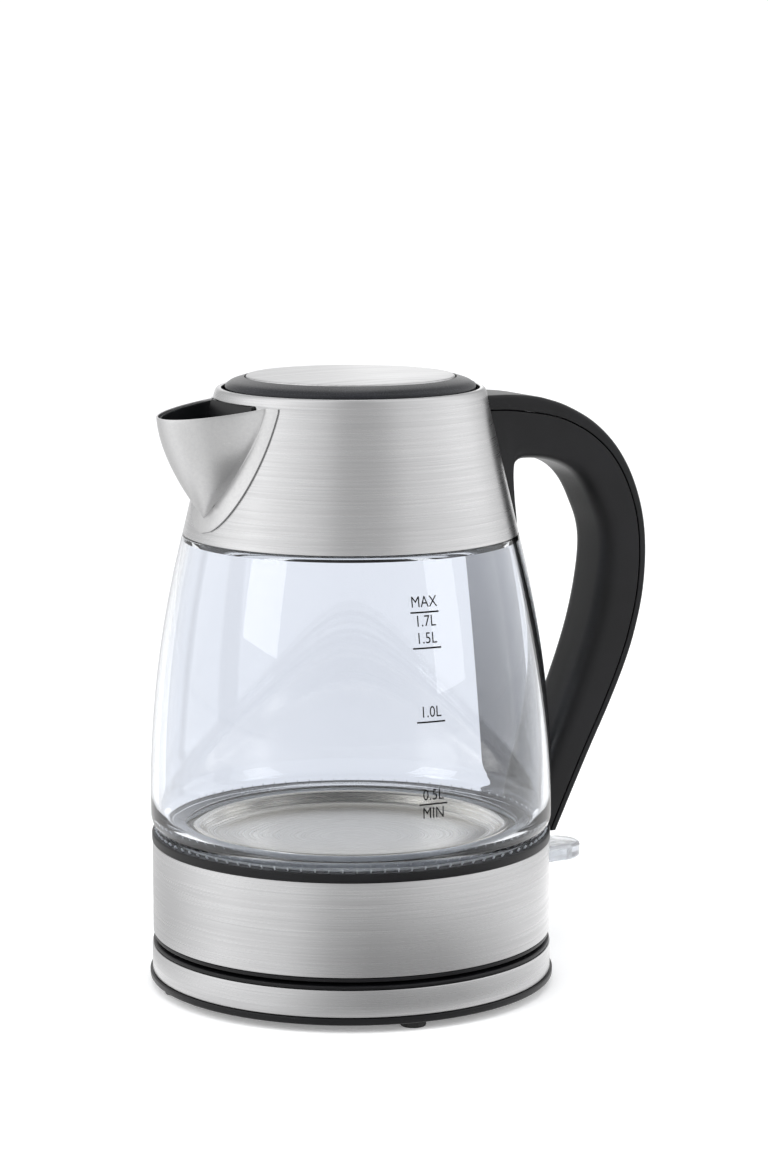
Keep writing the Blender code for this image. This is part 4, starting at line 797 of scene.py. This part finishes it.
EDGE_Z = COLLAR_Z - 0.35
collar = turned("collar_finished", [
    (MOUTH_RADIUS, COLLAR_TOP - 0.15, 0.3), (52.0, COLLAR_TOP - 0.05, 1.4), (53.2, COLLAR_TOP - 2.4, 2.0),
    (NECK_RADIUS, CONE_TOP, 2.0), (COLLAR_RADIUS, EDGE_Z, 0.3), (COLLAR_RADIUS - 0.8, EDGE_Z, 0.2),
    (NECK_RADIUS - 0.8, CONE_TOP, 1.5), (52.2, COLLAR_TOP - 2.6, 1.0), (51.4, COLLAR_TOP - 0.95, 0.5),
    (MOUTH_RADIUS, COLLAR_TOP - 0.95, 0.3)], FINE_SIDES)

# %% Liner with its throat and hinge ears
HINGE_X, HINGE_Z = 43.5, 236.25
EAR_NEAR, EAR_FAR = 15.0, 19.0
THROAT = 45.9
FLANGE_TOP = COLLAR_TOP - 2.2
liner = turned("collar_liner_finished", [
    (MOUTH_RADIUS, FLANGE_TOP, 0.3), (collar_radius(CONE_TOP - 1) - 1.1, CONE_TOP - 1.0, 0.5),
    (collar_radius(192.95) - 1.1, 192.95, 0.3), (collar_radius(192.95) - 3.1, 192.95, 0.3),
    (collar_radius(232.45) - 3.1, 231.85, 0.6), (47.9, 231.85, 0.6), (47.9, 222.95, 0.3),
    (THROAT, 222.95, 0.3), (THROAT, FLANGE_TOP, 0.6)])
cut(liner, block("lid_room", (HINGE_X - 3, -23.4, HINGE_Z - 6.2), (MOUTH_RADIUS + 0.5, 23.4, 242.0)))
for side in (-1, 1):
    near, far = sorted((side * EAR_NEAR, side * EAR_FAR))
    ear = block("ear", (HINGE_X - 1.65, near, HINGE_Z - 8.4), (HINGE_X + 1.65, far, HINGE_Z - 0.2), 0.25, 2)
    cut(liner, ear, rod("eye", (HINGE_X, near, HINGE_Z), (HINGE_X, far, HINGE_Z), 1.9, 32), operation="UNION")
PIN_HOLE = 1.3
cut(liner, rod("bore", (HINGE_X, -21, HINGE_Z), (HINGE_X, 21, HINGE_Z), PIN_HOLE, 24))


def shield(half, top, height, soft=0.0):
    """Outline of the spout's window: flat top, upright shoulders, pointed foot."""
    left = [(-half, top, soft), (-half, top - height * 0.3, height * 0.2),
            (-half * 0.62, top - height * 0.68, height * 0.2)]
    right = [(-u, v, cut_back) for u, v, cut_back in reversed(left)]
    return rounded(left + [(0.0, top - height, height * 0.1)] + right, steps=5)


def slab(name, outline, place, low, high, sharp=35.0):
    """Extrude a flat outline; place turns (u, v, w) into a point."""
    corners = [place(u, v, w) for w in (low, high) for u, v in outline]
    count = len(outline)
    faces = [tuple(range(count)), tuple(range(2 * count - 1, count - 1, -1))]
    faces += [(i, (i + 1) % count, count + (i + 1) % count, count + i) for i in range(count)]
    return solid(name, corners, faces, sharp)


WINDOW_TOP, WINDOW_HEIGHT, WINDOW_HALF = COLLAR_TOP - 3.8, 35.6, 17.6
LATCH_LOW, LATCH_HIGH, LATCH_HALF = 224.75, 228.75, 3.5
outline = shield(WINDOW_HALF, WINDOW_TOP, WINDOW_HEIGHT, 1.0)
window = slab("window", outline, lambda u, v, w: (-w, u, v), 48.5, 82.0)
latch_way = block("latch_way", (HINGE_X + 1, -LATCH_HALF, LATCH_LOW), (78.0, LATCH_HALF, LATCH_HIGH))
cut(collar, window, latch_way, keep_tools=True)
cut(liner, window, latch_way)
dress(collar, steel_level, "kettle", "brushed_steel", "collar")
dress(liner, plastic_black, "kettle", "black_plastic", "collar_liner")

# %% [markdown]
# ## The spout
# The spout is drawn from sheet and welded to the collar: a flange lies on the cone, a crease runs
# round it, and the body sweeps out to a lip like a half funnel. Its rows are worked out one by one
# from the crease to the keel, skinned, and only then given a wall. A sculpted surface could do it,
# but the rows keep the spout's foot exactly on the collar.

# %% Spout and its plastic channel
SPOUT_REACH, SPOUT_HALF, FLANGE_HALF = 82.2, 22.0, 27.4
FOLD_LOW = COLLAR_Z + 9.4
FLANGE_LOW = FOLD_LOW - 6.0
LIP_TOP = COLLAR_TOP - 4.2
TIP_Z = COLLAR_TOP - 8.5
STAND_OFF = 0.12


def on_collar(half, z, out=STAND_OFF):
    """A point that lies on the collar's cone, half to the side of the spout's middle plane."""
    radius = collar_radius(min(z, CONE_TOP)) + out
    return Vector((-math.sqrt(radius ** 2 - half ** 2), half, z))


def rounded_path(points, index, cut_back, steps=4):
    """A path with one of its corners rounded."""
    here = points[index]
    start = here + (points[index - 1] - here).normalized() * cut_back
    end = here + (points[index + 1] - here).normalized() * cut_back
    return points[:index] + bend(start, here, end, steps) + points[index + 1:]


def spout_rows(inset, first, last, rows, flange, across=20):
    """Half of the spout, row by row from the foot of the crease to the lip."""
    skin = []
    for row in range(rows + 1):
        t = first + (last - first) * row / rows
        half = max(SPOUT_HALF * (1.0 - (1.0 - t) ** 2) - inset, 0.0)
        fold = on_collar(half, FOLD_LOW + (LIP_TOP - FOLD_LOW) * t)
        keel_start = collar_radius(FOLD_LOW) + STAND_OFF
        keel_x = keel_start + (SPOUT_REACH - 0.8 - keel_start) * (1.0 - (1.0 - t) ** 1.6)
        keel_x = max(keel_x - inset, -fold.x)
        keel_z = FOLD_LOW + (TIP_Z - FOLD_LOW) * t
        line = []
        if flange:
            side = FLANGE_HALF * math.sqrt(1.0 - (1.0 - t) ** 2)
            line.append(on_collar(side, FLANGE_LOW + (LIP_TOP - FLANGE_LOW) * t))
        for step in range(across + 1):
            turn = math.radians(90.0 * step / across)
            line.append(Vector((fold.x + (-keel_x - fold.x) * math.sin(turn), half * math.cos(turn),
                                fold.z + (keel_z - fold.z) * math.sin(turn))))
        if flange:
            line = rounded_path(line, 1, 0.3 + 0.9 * t)
        skin.append(line)
    return skin


def skinned(name, skin, wall):
    """Both halves of a spout surface, with a wall outwards and rounded rims."""
    bm = bmesh.new()
    for side in (1.0, -1.0):
        rows = [[bm.verts.new(Vector((p.x, side * p.y, p.z)) * MM) for p in line] for line in skin]
        for low, high in zip(rows, rows[1:]):
            for index in range(len(low) - 1):
                corners = [low[index], low[index + 1], high[index + 1], high[index]]
                bm.faces.new(corners if side > 0 else corners[::-1])
    bmesh.ops.remove_doubles(bm, verts=bm.verts[:], dist=0.00002)
    bmesh.ops.dissolve_degenerate(bm, edges=bm.edges[:], dist=0.00002)
    mesh = bpy.data.meshes.new(name)
    bm.to_mesh(mesh)
    bm.free()
    thing = put(name, mesh)
    shell = thing.modifiers.new("wall", "SOLIDIFY")
    shell.thickness = wall * MM
    shell.offset = 1.0
    bevel(thing, wall * 0.3, 2, 60.0)
    return applied(thing, 40.0)


spout = skinned("spout_finished", spout_rows(0.0, 0.0, 1.0, 36, True), 0.6)
dress(spout, steel_satin, "kettle", "satin_steel", "spout")
channel = skinned("spout_channel_finished", spout_rows(1.35, 0.3, 0.985, 24, False), 1.0)
dress(channel, plastic_inner, "kettle", "black_plastic", "spout_channel")

# %% [markdown]
# ## The strainer
# A black frame in the spout's window holds a fine steel weave that keeps scale out of the cup. A
# weave is the clearest case for Geometry Nodes: one wire, waved, repeated side by side both ways.
# The real one has a wire about every 0.5 mm; here it is every 0.9 mm, as coarse as it must be to show.

# %% Strainer frame
SLOPE = (COLLAR_RADIUS - NECK_RADIUS) / (CONE_TOP - COLLAR_Z)
FRAME_TOP, FRAME_HEIGHT, FRAME_HALF = WINDOW_TOP - 0.2, 33.6, 17.1


def in_window(u, v, w):
    """A point of the strainer, which leans with the collar's wall."""
    return Vector((-(collar_radius(v) - 1.8) + w * 0.97, u, v + w * SLOPE))


outline = shield(FRAME_HALF, FRAME_TOP, FRAME_HEIGHT, 1.0)
strainer = slab("strainer_frame_finished", outline, in_window, -0.8, 0.8)
hole = shield(FRAME_HALF - 3.4, FRAME_TOP - 6.4, FRAME_HEIGHT - 11.6, 0.6)
cut(strainer, slab("hole", hole, in_window, -3.0, 3.0))
dress(strainer, plastic_black, "kettle", "black_plastic", "strainer_frame")


# %% Geometry Nodes: a small toolkit
def geometry_tree(name, sizes):
    """An empty node tree with a mesh input, named size inputs and a mesh output."""
    tree = bpy.data.node_groups.new(name, "GeometryNodeTree")
    tree.interface.new_socket("Geometry", in_out="INPUT", socket_type="NodeSocketGeometry")
    for label, (kind, value) in sizes.items():
        tree.interface.new_socket(label, in_out="INPUT", socket_type=kind).default_value = value
    tree.interface.new_socket("Finish", in_out="INPUT", socket_type="NodeSocketMaterial")
    tree.interface.new_socket("Geometry", in_out="OUTPUT", socket_type="NodeSocketGeometry")
    return tree, tree.nodes.new("NodeGroupInput"), tree.nodes.new("NodeGroupOutput")


def swept(tree, path, sides, radius):
    """A round wire along a path."""
    profile = add(tree, "GeometryNodeCurvePrimitiveCircle", {"Resolution": sides, "Radius": radius})
    return add(tree, "GeometryNodeCurveToMesh", {
        "Curve": path.outputs[0], "Profile Curve": profile.outputs[0], "Fill Caps": True})


def close_tree(tree, given, result, geometry):
    """End a tree the way every tree here ends: real geometry, its material, output."""
    real = add(tree, "GeometryNodeRealizeInstances", {"Geometry": geometry})
    painted = add(tree, "GeometryNodeSetMaterial", {
        "Geometry": real.outputs[0], "Material": given.outputs["Finish"]})
    tree.links.new(painted.outputs[0], result.inputs["Geometry"])


def grow(name, tree, finish, sharp=60.0, **sizes):
    """Run a tree once on an empty mesh and keep the result as a plain mesh object."""
    thing = put(name, bpy.data.meshes.new(name))
    maker = thing.modifiers.new("maker", "NODES")
    maker.node_group = tree
    names = {item.name: item.identifier for item in tree.interface.items_tree if item.in_out == "INPUT"}
    for label, value in sizes.items():
        maker[names[label.replace("_", " ")]] = value
    maker[names["Finish"]] = finish
    return applied(thing, sharp)


FLOAT, INTEGER = "NodeSocketFloat", "NodeSocketInt"
weave, given, result = geometry_tree("woven_wire", {
    "Width": (FLOAT, 0.03), "Pitch": (FLOAT, 0.0009), "Wire": (FLOAT, 0.00012), "Wires": (INTEGER, 30)})
line = add(weave, "GeometryNodeCurvePrimitiveLine")
half = maths(weave, "MULTIPLY", given.outputs["Width"], 0.5)
back = maths(weave, "MULTIPLY", half, -1.0)
for socket_name, value in (("Start", back), ("End", half)):
    spot = add(weave, "ShaderNodeCombineXYZ", {"X": value})
    weave.links.new(spot.outputs[0], line.inputs[socket_name])
short = maths(weave, "MULTIPLY", given.outputs["Pitch"], 0.5)
knots = add(weave, "GeometryNodeResampleCurve", {"Curve": line.outputs[0], "Length": short}, mode="LENGTH")
where = add(weave, "GeometryNodeInputPosition")
apart = add(weave, "ShaderNodeSeparateXYZ", {0: where.outputs[0]})
beat = maths(weave, "DIVIDE", math.pi, given.outputs["Pitch"])
wave = maths(weave, "SINE", maths(weave, "MULTIPLY", apart.outputs["X"], beat))
shift = add(weave, "ShaderNodeCombineXYZ", {"Z": maths(weave, "MULTIPLY", wave, given.outputs["Wire"])})
waved = add(weave, "GeometryNodeSetPosition", {"Geometry": knots.outputs[0], "Offset": shift.outputs[0]})
wire = swept(weave, waved, 5, given.outputs["Wire"])
row = add(weave, "GeometryNodeMeshLine", {"Count": given.outputs["Wires"]})
step_up = add(weave, "ShaderNodeCombineXYZ", {"Y": given.outputs["Pitch"]})
weave.links.new(step_up.outputs[0], row.inputs["Offset"])
row_start = add(weave, "ShaderNodeCombineXYZ", {"Y": back})
weave.links.new(row_start.outputs[0], row.inputs["Start Location"])
wires = add(weave, "GeometryNodeInstanceOnPoints", {"Points": row.outputs[0], "Instance": wire.outputs[0]})
crossed = add(weave, "GeometryNodeTransform", {
    "Geometry": wires.outputs[0], "Rotation": (0.0, 0.0, math.pi / 2)})
both = add(weave, "GeometryNodeJoinGeometry", {0: wires.outputs[0]})
weave.links.new(crossed.outputs[0], both.inputs[0])
close_tree(weave, given, result, both.outputs[0])
cloth = grow("strainer_mesh_finished", weave, steel_polished, Width=0.0288, Pitch=0.0009, Wire=0.00013,
             Wires=33)


def trim(piece, outline):
    """Cut a flat piece off along every side of a bulging outline, and close the cut wires."""
    mesh = bmesh.new()
    mesh.from_mesh(piece.data)
    middle = sum((Vector(point) for point in outline), Vector((0.0, 0.0))) / len(outline)
    for start, end in zip(outline, outline[1:] + outline[:1]):
        start, end = Vector(start), Vector(end)
        if (end - start).length < 0.001:
            continue
        away = Vector((end.y - start.y, start.x - end.x, 0.0))
        if away.to_2d().dot(start - middle) < 0.0:
            away = -away
        found = bmesh.ops.bisect_plane(
            mesh, geom=mesh.verts[:] + mesh.edges[:] + mesh.faces[:], plane_co=(start * MM).to_3d(),
            plane_no=away, clear_outer=True)
        rims = [part for part in found["geom_cut"] if isinstance(part, bmesh.types.BMEdge)]
        bmesh.ops.edgenet_fill(mesh, edges=rims)
    mesh.to_mesh(piece.data)
    mesh.free()


MESH_MIDDLE = FRAME_TOP - 17.4
inner = shield(FRAME_HALF - 3.6, FRAME_TOP - 6.6, FRAME_HEIGHT - 12.0, 0.6)
trim(cloth, [(u, v - MESH_MIDDLE) for u, v in inner])
for vertex in cloth.data.vertices:
    u, v, w = vertex.co / MM
    vertex.co = in_window(u, MESH_MIDDLE + v, w) * MM
dress(cloth, steel_polished, "kettle", "steel_mesh", "strainer_mesh")

# %% [markdown]
# ## The lid
# A black ring with a steel disc set in it. Under the ring a plug with a silicone lip closes the
# throat. The ring is cut away at the back for the hinge's ears and its spring.

# %% Lid ring, disc, cover, lip and screws
LID_RADIUS, DISC_RADIUS = 48.8, 40.9
PLUG_OUT, PLUG_IN = 44.0, 42.2
LID_UNDER, LID_LOW = COLLAR_TOP - 1.8, COLLAR_TOP - 12.5
DISC_Z = COLLAR_TOP + 4.4
lid_ring = turned("lid_ring_finished", [
    (41.25, DISC_Z - 0.35, 0.35), (46.6, COLLAR_TOP + 2.45, 1.8), (48.5, COLLAR_TOP + 1.0, 0.9),
    (LID_RADIUS, COLLAR_TOP + 0.1, 0.4), (LID_RADIUS, LID_UNDER, 0.3), (PLUG_OUT, LID_UNDER),
    (PLUG_OUT, LID_LOW, 0.5), (PLUG_IN, LID_LOW, 0.3), (PLUG_IN, COLLAR_TOP - 0.1, 0.3),
    (38.9, COLLAR_TOP - 0.1, 0.3), (38.9, COLLAR_TOP + 2.5), (41.25, COLLAR_TOP + 2.5)])
for side in (-1, 1):
    near, far = sorted((side * (EAR_NEAR - 0.3), side * (EAR_FAR + 0.3)))
    cut(lid_ring, block("slot", (HINGE_X - 2.7, near, HINGE_Z - 10.5), (54.0, far, HINGE_Z + 2.3)))
cut(lid_ring, block("pocket", (HINGE_X - 3.0, -5.2, HINGE_Z - 2.9), (54.0, 5.2, HINGE_Z + 2.9)))
cut(lid_ring, rod("bore", (HINGE_X, -19, HINGE_Z), (HINGE_X, 19, HINGE_Z), PIN_HOLE, 24))
cut(lid_ring, block("catch", (42.8, -2.7, 226.45), (46.2, 2.7, 228.45), 0.3), operation="UNION")
dress(lid_ring, plastic_grey, "lid", "grey_plastic", "lid_ring")
disc = turned("lid_disc_finished", [
    (0.0, DISC_Z + 1.1), (DISC_RADIUS * 0.35, DISC_Z + 0.98, 5.0),
    (DISC_RADIUS * 0.75, DISC_Z + 0.5, 5.0), (DISC_RADIUS - 0.3, DISC_Z, 0.6),
    (DISC_RADIUS, DISC_Z - 1.6, 0.2), (DISC_RADIUS - 0.8, DISC_Z - 1.6, 0.2),
    (DISC_RADIUS - 1.0, DISC_Z - 0.8, 0.3), (DISC_RADIUS * 0.5, DISC_Z + 0.1),
    (0.0, DISC_Z + 0.3)], FINE_SIDES)
dress(disc, steel_straight, "lid", "brushed_steel", "lid_disc")
inner = turned("lid_inner_cover_finished", [
    (0.0, LID_LOW + 2.0), (41.9, LID_LOW + 2.0, 0.3), (41.9, LID_LOW, 0.6), (37.0, LID_LOW),
    (36.6, LID_LOW + 0.5, 0.2), (20.4, LID_LOW + 0.5, 0.2), (20.0, LID_LOW), (0.0, LID_LOW)])
LID_SCREWS, LID_SCREW_ANGLES = 32.0, (90, 210, 330)
sink_wells(inner, LID_SCREWS, LID_SCREW_ANGLES, LID_LOW - 1, LID_LOW + 3)
dress(inner, plastic_black, "lid", "black_plastic", "lid_inner_cover")
lip = turned("lid_seal_finished", [
    (44.2, LID_LOW + 2.0, 0.2), (44.7, LID_LOW + 2.0, 0.2), (45.0, LID_LOW + 1.2, 0.3),
    (44.8, LID_LOW + 0.4, 0.2), (44.2, LID_LOW + 0.4, 0.2)])
dress(lip, silicone_clear, "lid", "silicone", "lid_seal")
screws("lid_screw", LID_SCREWS, LID_SCREW_ANGLES, LID_LOW + 0.3, LID_LOW + 8.0, "lid")

# %% [markdown]
# ## The handle
# Two mouldings: the loop that the fingers close round, and a cover that runs over its back and carries
# the button. Both are lofts: at each station a cross-section stands between a point on the back line
# and its partner on the palm line. Bevelling a flat slab could not give the palm side its large, even
# rounding, nor keep the seam at a steady distance from the back.

# %% Handle stations: back line, palm line and depth of the cover
HANDLE_WIDTH = 26.6
STATIONS = [
    ((46.0, 231.35), (63.0, 171.9), 6.3), ((50.0, 231.35), (68.9, 171.9), 6.3),
    ((54.0, 231.35), (69.5, 176.0), 6.3), ((58.0, 231.3), (68.3, 185.0), 6.3),
    ((62.0, 231.25), (67.4, 195.0), 6.3), ((66.0, 231.1), (67.9, 201.2), 6.4),
    ((70.5, 230.75), (71.2, 204.2), 6.6), ((75.5, 230.15), (76.8, 204.6), 6.8),
    ((82.0, 228.85), (84.3, 203.6), 6.7), ((92.5, 225.3), (91.6, 201.2), 6.1),
    ((104.8, 218.5), (97.6, 197.3), 5.3), ((115.3, 208.7), (102.6, 191.4), 4.4),
    ((123.2, 196.2), (106.6, 183.6), 3.8), ((128.5, 181.0), (110.1, 174.6), 3.4),
    ((130.35, 165.5), (111.1, 165.0), 3.3), ((129.4, 148.5), (109.5, 151.5), 3.3),
    ((126.0, 133.0), (106.3, 137.3), 3.3), ((121.2, 119.2), (101.6, 123.0), 3.3),
    ((113.3, 102.2), (94.6, 105.5), 3.2), ((104.4, 85.2), (87.3, 88.8), 3.1),
    ((96.9, 70.3), (82.4, 75.6), 3.0), ((91.4, 59.2), (80.3, 62.2), 2.9),
    ((88.0, 52.4), (79.8, 52.4), 2.9)]


def flowing(points, steps):
    """A smooth line through points (Catmull-Rom)."""
    ends = [points[0] * 2 - points[1]] + list(points) + [points[-1] * 2 - points[-2]]
    line = []
    for a, b, c, d in zip(ends, ends[1:], ends[2:], ends[3:]):
        for step in range(steps):
            t = step / steps
            line.append(0.5 * (2 * b + (c - a) * t + (2 * a - 5 * b + 4 * c - d) * t ** 2
                               + (3 * b - a - 3 * c + d) * t ** 3))
    return line + [points[-1]]


stations = flowing([Vector((*back, *palm)) for back, palm, _ in STATIONS], 6)
depths = flowing([Vector((depth, 0.0)) for _, _, depth in STATIONS], 6)
backs = [Vector(point[:2]) for point in stations]
palms = [Vector(point[2:]) for point in stations]


def section(back, palm, start, end, corner_start, corner_end, crown):
    """Closed cross-section between two depths: (y, depth) corners rounded, put into space."""
    half = HANDLE_WIDTH / 2
    room = (end - start) * 0.48
    outline = rounded([(-half, start, min(corner_start, room)), (half, start, min(corner_start, room)),
                       (half, end, min(corner_end, room)), (-half, end, min(corner_end, room))], steps=8)
    down = (palm - back).normalized()
    points = []
    for y, depth in outline:
        bulge = crown * (1.0 - (y / half) ** 2) * (1.0 if depth < (start + end) / 2 else 0.0)
        spot = back + down * (depth - bulge)
        points.append((spot.x, y, spot.y))
    return points


def loft(name, rings):
    """Join closed rings of points into a solid with flat ends."""
    count = len(rings[0])
    corners = [point for ring in rings for point in ring]
    faces = [tuple(range(count))[::-1], tuple(range(len(corners) - count, len(corners)))]
    for row in range(len(rings) - 1):
        here = row * count
        for s in range(count):
            after = (s + 1) % count
            faces.append((here + s, here + after, here + count + after, here + count + s))
    return solid(name, corners, faces, 38.0)


SEAM = 0.22                 # half the gap between the two mouldings
body_rings, cover_rings = [], []
for back, palm, depth in zip(backs, palms, [d.x for d in depths]):
    whole = (palm - back).length
    body_rings.append(section(back, palm, depth + SEAM, whole, 0.5, 7.0, 0.0))
    cover_rings.append(section(back, palm, 0.0, depth - SEAM, 2.6, 0.4, -0.5))
handle_body = loft("handle_body_finished", body_rings)
handle_cover = loft("handle_cover_finished", cover_rings)

# %% The handle sits on the collar, and the button sits in the cover
bodyline = [(0.0, 250.0), (NECK_RADIUS + 0.3, 250.0), (NECK_RADIUS + 0.3, CONE_TOP),
            (COLLAR_RADIUS + 0.3, COLLAR_Z - 0.3)]
heights = [178.0 - (178.0 - RING_TOP) * step / 24 for step in range(25)]
bodyline += [(glass_radius(height) + 0.5, height) for height in heights]
bodyline += [(RING_RADIUS + 0.5, SKIRT_Z), (0.0, SKIRT_Z)]
for piece in (handle_body, handle_cover):
    cut(piece, turned("kettle_shape", bodyline, FINE_SIDES))
for rise in (16.0, 31.0):
    seat = collar_radius(COLLAR_Z + rise) - 3.1
    cut(handle_body, rod("hole", (seat, 0, COLLAR_Z + rise), (seat + 9.0, 0, COLLAR_Z + rise), 1.7, 24))
for piece, low in ((handle_body, LATCH_LOW), (handle_cover, 215.0)):
    cut(piece, block("latch_way", (48.0, -LATCH_HALF, low), (78.0, LATCH_HALF, LATCH_HIGH)))
BUTTON_OUT = Vector((0.4827, 0.87579))
BUTTON_ALONG = Vector((0.87579, -0.4827))
BUTTON_MIDDLE = Vector((98.948, 222.059))


def button_rings(half_length, half_width, low, high, soft):
    """Sections of a long lens that follows the cover's back."""
    rings = []
    for step in range(33):
        share = -1.0 + step / 16.0
        share = math.copysign(1.0 - (1.0 - abs(share)) ** 1.6, share)
        width = half_width * max(1.0 - abs(share) ** 3.2, 0.02) ** 0.5
        along = BUTTON_MIDDLE + BUTTON_ALONG * half_length * share
        sag = -2.05 * share ** 2 * (half_length / 12.6) ** 2
        crown = high * (1.0 - 0.45 * share ** 4)
        outline = rounded([(-width, low), (width, low), (width, sag + crown, min(soft, width * 0.4)),
                           (-width, sag + crown, min(soft, width * 0.4))], steps=4)
        ring = []
        for y, out in outline:
            spot = along + BUTTON_OUT * out
            ring.append((spot.x, y, spot.y))
        rings.append(ring)
    return rings


POCKET_FLOOR = -8.9
button = loft("release_button_finished", button_rings(12.0, 6.3, -4.6, 0.85, 1.0))
pocket = loft("pocket", button_rings(12.6, 6.9, POCKET_FLOOR, 9.0, 0.1))
cut(handle_cover, pocket, keep_tools=True)
cut(handle_body, pocket)
dress(handle_body, plastic_black, "kettle", "black_plastic", "handle_body")
dress(handle_cover, plastic_black, "kettle", "black_plastic", "handle_cover")
dress(button, plastic_black, "release_button", "black_plastic", "release_button")

# %% [markdown]
# ## The switch lever
# A clear paddle that glows when the kettle is on. It is moulded in one piece with a core of ribs,
# which is what puts the level bands in it. Clear plastic shows its back through its front, so the
# inside must be modelled too: the ribs are cut out of its underside.

# %% Lever with its ribbed core
LEVER_X, LEVER_Z, LEVER_HALF, LEVER_TIP, LEVER_END = 71.0, 41.2, 10.0, 106.0, 64.0
outline = [(LEVER_TIP - LEVER_HALF + LEVER_HALF * math.cos(turn), LEVER_HALF * math.sin(turn))
           for turn in [math.radians(-90 + 7.5 * step) for step in range(25)]]
outline += [(LEVER_END, LEVER_HALF), (LEVER_END, -LEVER_HALF)]
lever = slab("switch_lever_finished", outline, lambda u, v, w: (u, v, LEVER_Z + w), -3.3, 3.3)
bevel(lever, 1.7, 5, 40.0)
applied(lever, 40.0)
cut(lever, rod("bore", (LEVER_X, -30, LEVER_Z), (LEVER_X, 30, LEVER_Z), 1.8, 32))
cut(lever, *[block("core", (76.5, side, LEVER_Z - 5.0), (98.5, side + 3.0, LEVER_Z + 1.4), 0.4)
             for side in [-7.6 + 3.9 * rib for rib in range(4)]])
dress(lever, lever_clear, "switch_lever", "clear_plastic", "switch_lever")

# %% [markdown]
# ## Springs and the ribbed seal
# These follow a path or repeat round a circle, so each is a Geometry Nodes tree: a coil is a spiral
# curve swept by a small circle, and the seal's ribs are one rib set on the points of a circle.

# %% Coil springs
coil, given, result = geometry_tree("coil_spring", {
    "Radius": (FLOAT, 0.002), "Height": (FLOAT, 0.006), "Turns": (FLOAT, 4.0), "Wire": (FLOAT, 0.0004)})
spiral = add(coil, "GeometryNodeCurveSpiral", {
    "Resolution": 24, "Rotations": given.outputs["Turns"], "Start Radius": given.outputs["Radius"],
    "End Radius": given.outputs["Radius"], "Height": given.outputs["Height"]})
close_tree(coil, given, result, swept(coil, spiral, 10, given.outputs["Wire"]).outputs[0])
lid_spring = grow("lid_spring_finished", coil, steel_polished, Radius=0.002, Height=0.0064, Turns=4.0,
                  Wire=0.0004)
along_hinge = Matrix.Rotation(-math.pi / 2, 4, "X")
lid_spring.data.transform(Matrix.Translation((HINGE_X * MM, -0.0032, HINGE_Z * MM)) @ along_hinge)
smooth(lid_spring.data, 60.0)
dress(lid_spring, steel_polished, "kettle", "polished_steel", "lid_spring")
# Its top stays just below the button when that is pressed all the way.
foot_point = BUTTON_MIDDLE + BUTTON_OUT * (POCKET_FLOOR + 0.4)
button_spring = grow("button_spring_finished", coil, steel_polished, Radius=0.0024, Height=0.0015, Turns=2.0,
                     Wire=0.00035)
upright = Vector((BUTTON_OUT.x, 0.0, BUTTON_OUT.y)).to_track_quat("Z", "Y").to_matrix().to_4x4()
button_spring.data.transform(Matrix.Translation((foot_point.x * MM, 0.0, foot_point.y * MM)) @ upright)
dress(button_spring, steel_polished, "kettle", "polished_steel", "button_spring")

# %% Ribbed glass seal
ribbed, given, result = geometry_tree("ribbed_ring", {
    "Radius": (FLOAT, 0.076), "Ribs": (INTEGER, 84), "Length": (FLOAT, 0.004), "Width": (FLOAT, 0.001),
    "Height": (FLOAT, 0.001)})
circle = add(ribbed, "GeometryNodeCurvePrimitiveCircle", {"Resolution": given.outputs["Ribs"],
                                                          "Radius": given.outputs["Radius"]})
dots = add(ribbed, "GeometryNodeCurveToPoints", {"Curve": circle.outputs[0]}, mode="EVALUATED")
size = add(ribbed, "ShaderNodeCombineXYZ", {"X": given.outputs["Length"], "Y": given.outputs["Width"],
                                            "Z": given.outputs["Height"]})
rib = add(ribbed, "GeometryNodeMeshCube", {"Size": size.outputs[0]})
slanted = add(ribbed, "GeometryNodeTransform", {
    "Geometry": rib.outputs[0], "Rotation": (0.0, 0.0, math.radians(35.0))})
ribs = add(ribbed, "GeometryNodeInstanceOnPoints", {"Points": dots.outputs[0], "Instance": slanted.outputs[0],
                                                    "Rotation": dots.outputs["Rotation"]})
close_tree(ribbed, given, result, ribs.outputs[0])
ribs = grow("glass_seal_ribs", ribbed, silicone_clear, 30.0,
            Radius=0.0771, Ribs=92, Length=0.0007, Width=0.0021, Height=0.00028)
ribs.data.transform(Matrix.Translation((0.0, 0.0, 0.06175)))
dress(ribs, silicone_clear, "kettle", "silicone")
seal = turned("glass_seal_finished", [
    (66.0, 61.85, 0.3), (66.0, 60.75, 0.3), (73.5, 60.75, 0.3), (73.5, 61.85, 0.3)])
dress(seal, silicone_clear, "kettle", "silicone", "glass_seal")

# %% [markdown]
# ## Pieces whose CAD shape is already right
# Contacts, pins, the heater and the control are plain shapes deep inside. They keep their CAD mesh
# and only get the material that they are really made of.

# %% Materials for the carried-over nodes
KEPT = {
    copper_plain: ["neutral_contact_ring", "live_contact_ring", "socket_power_blade", "bimetal_disc"],
    brass_plain: ["earth_pin", "socket_earth_sleeve"],
    aluminium_cast: ["heat_spreader"],
    steel_polished: ["heating_element", "hinge_pin", "lever_pin", "handle_screw_1", "handle_screw_2"],
    plastic_black: ["thermostat_control"],
    plastic_grey: ["lever_bracket", "latch_bar"],
    silicone_clear: ["neck_seal"],
    lever_clear: ["indicator_lamp"],
}
for finish, names in KEPT.items():
    for name in names:
        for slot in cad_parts[name].material_slots:
            slot.material = finish
print("kept nodes:", sum(len(names) for names in KEPT.values()))

# %% End
print("done")
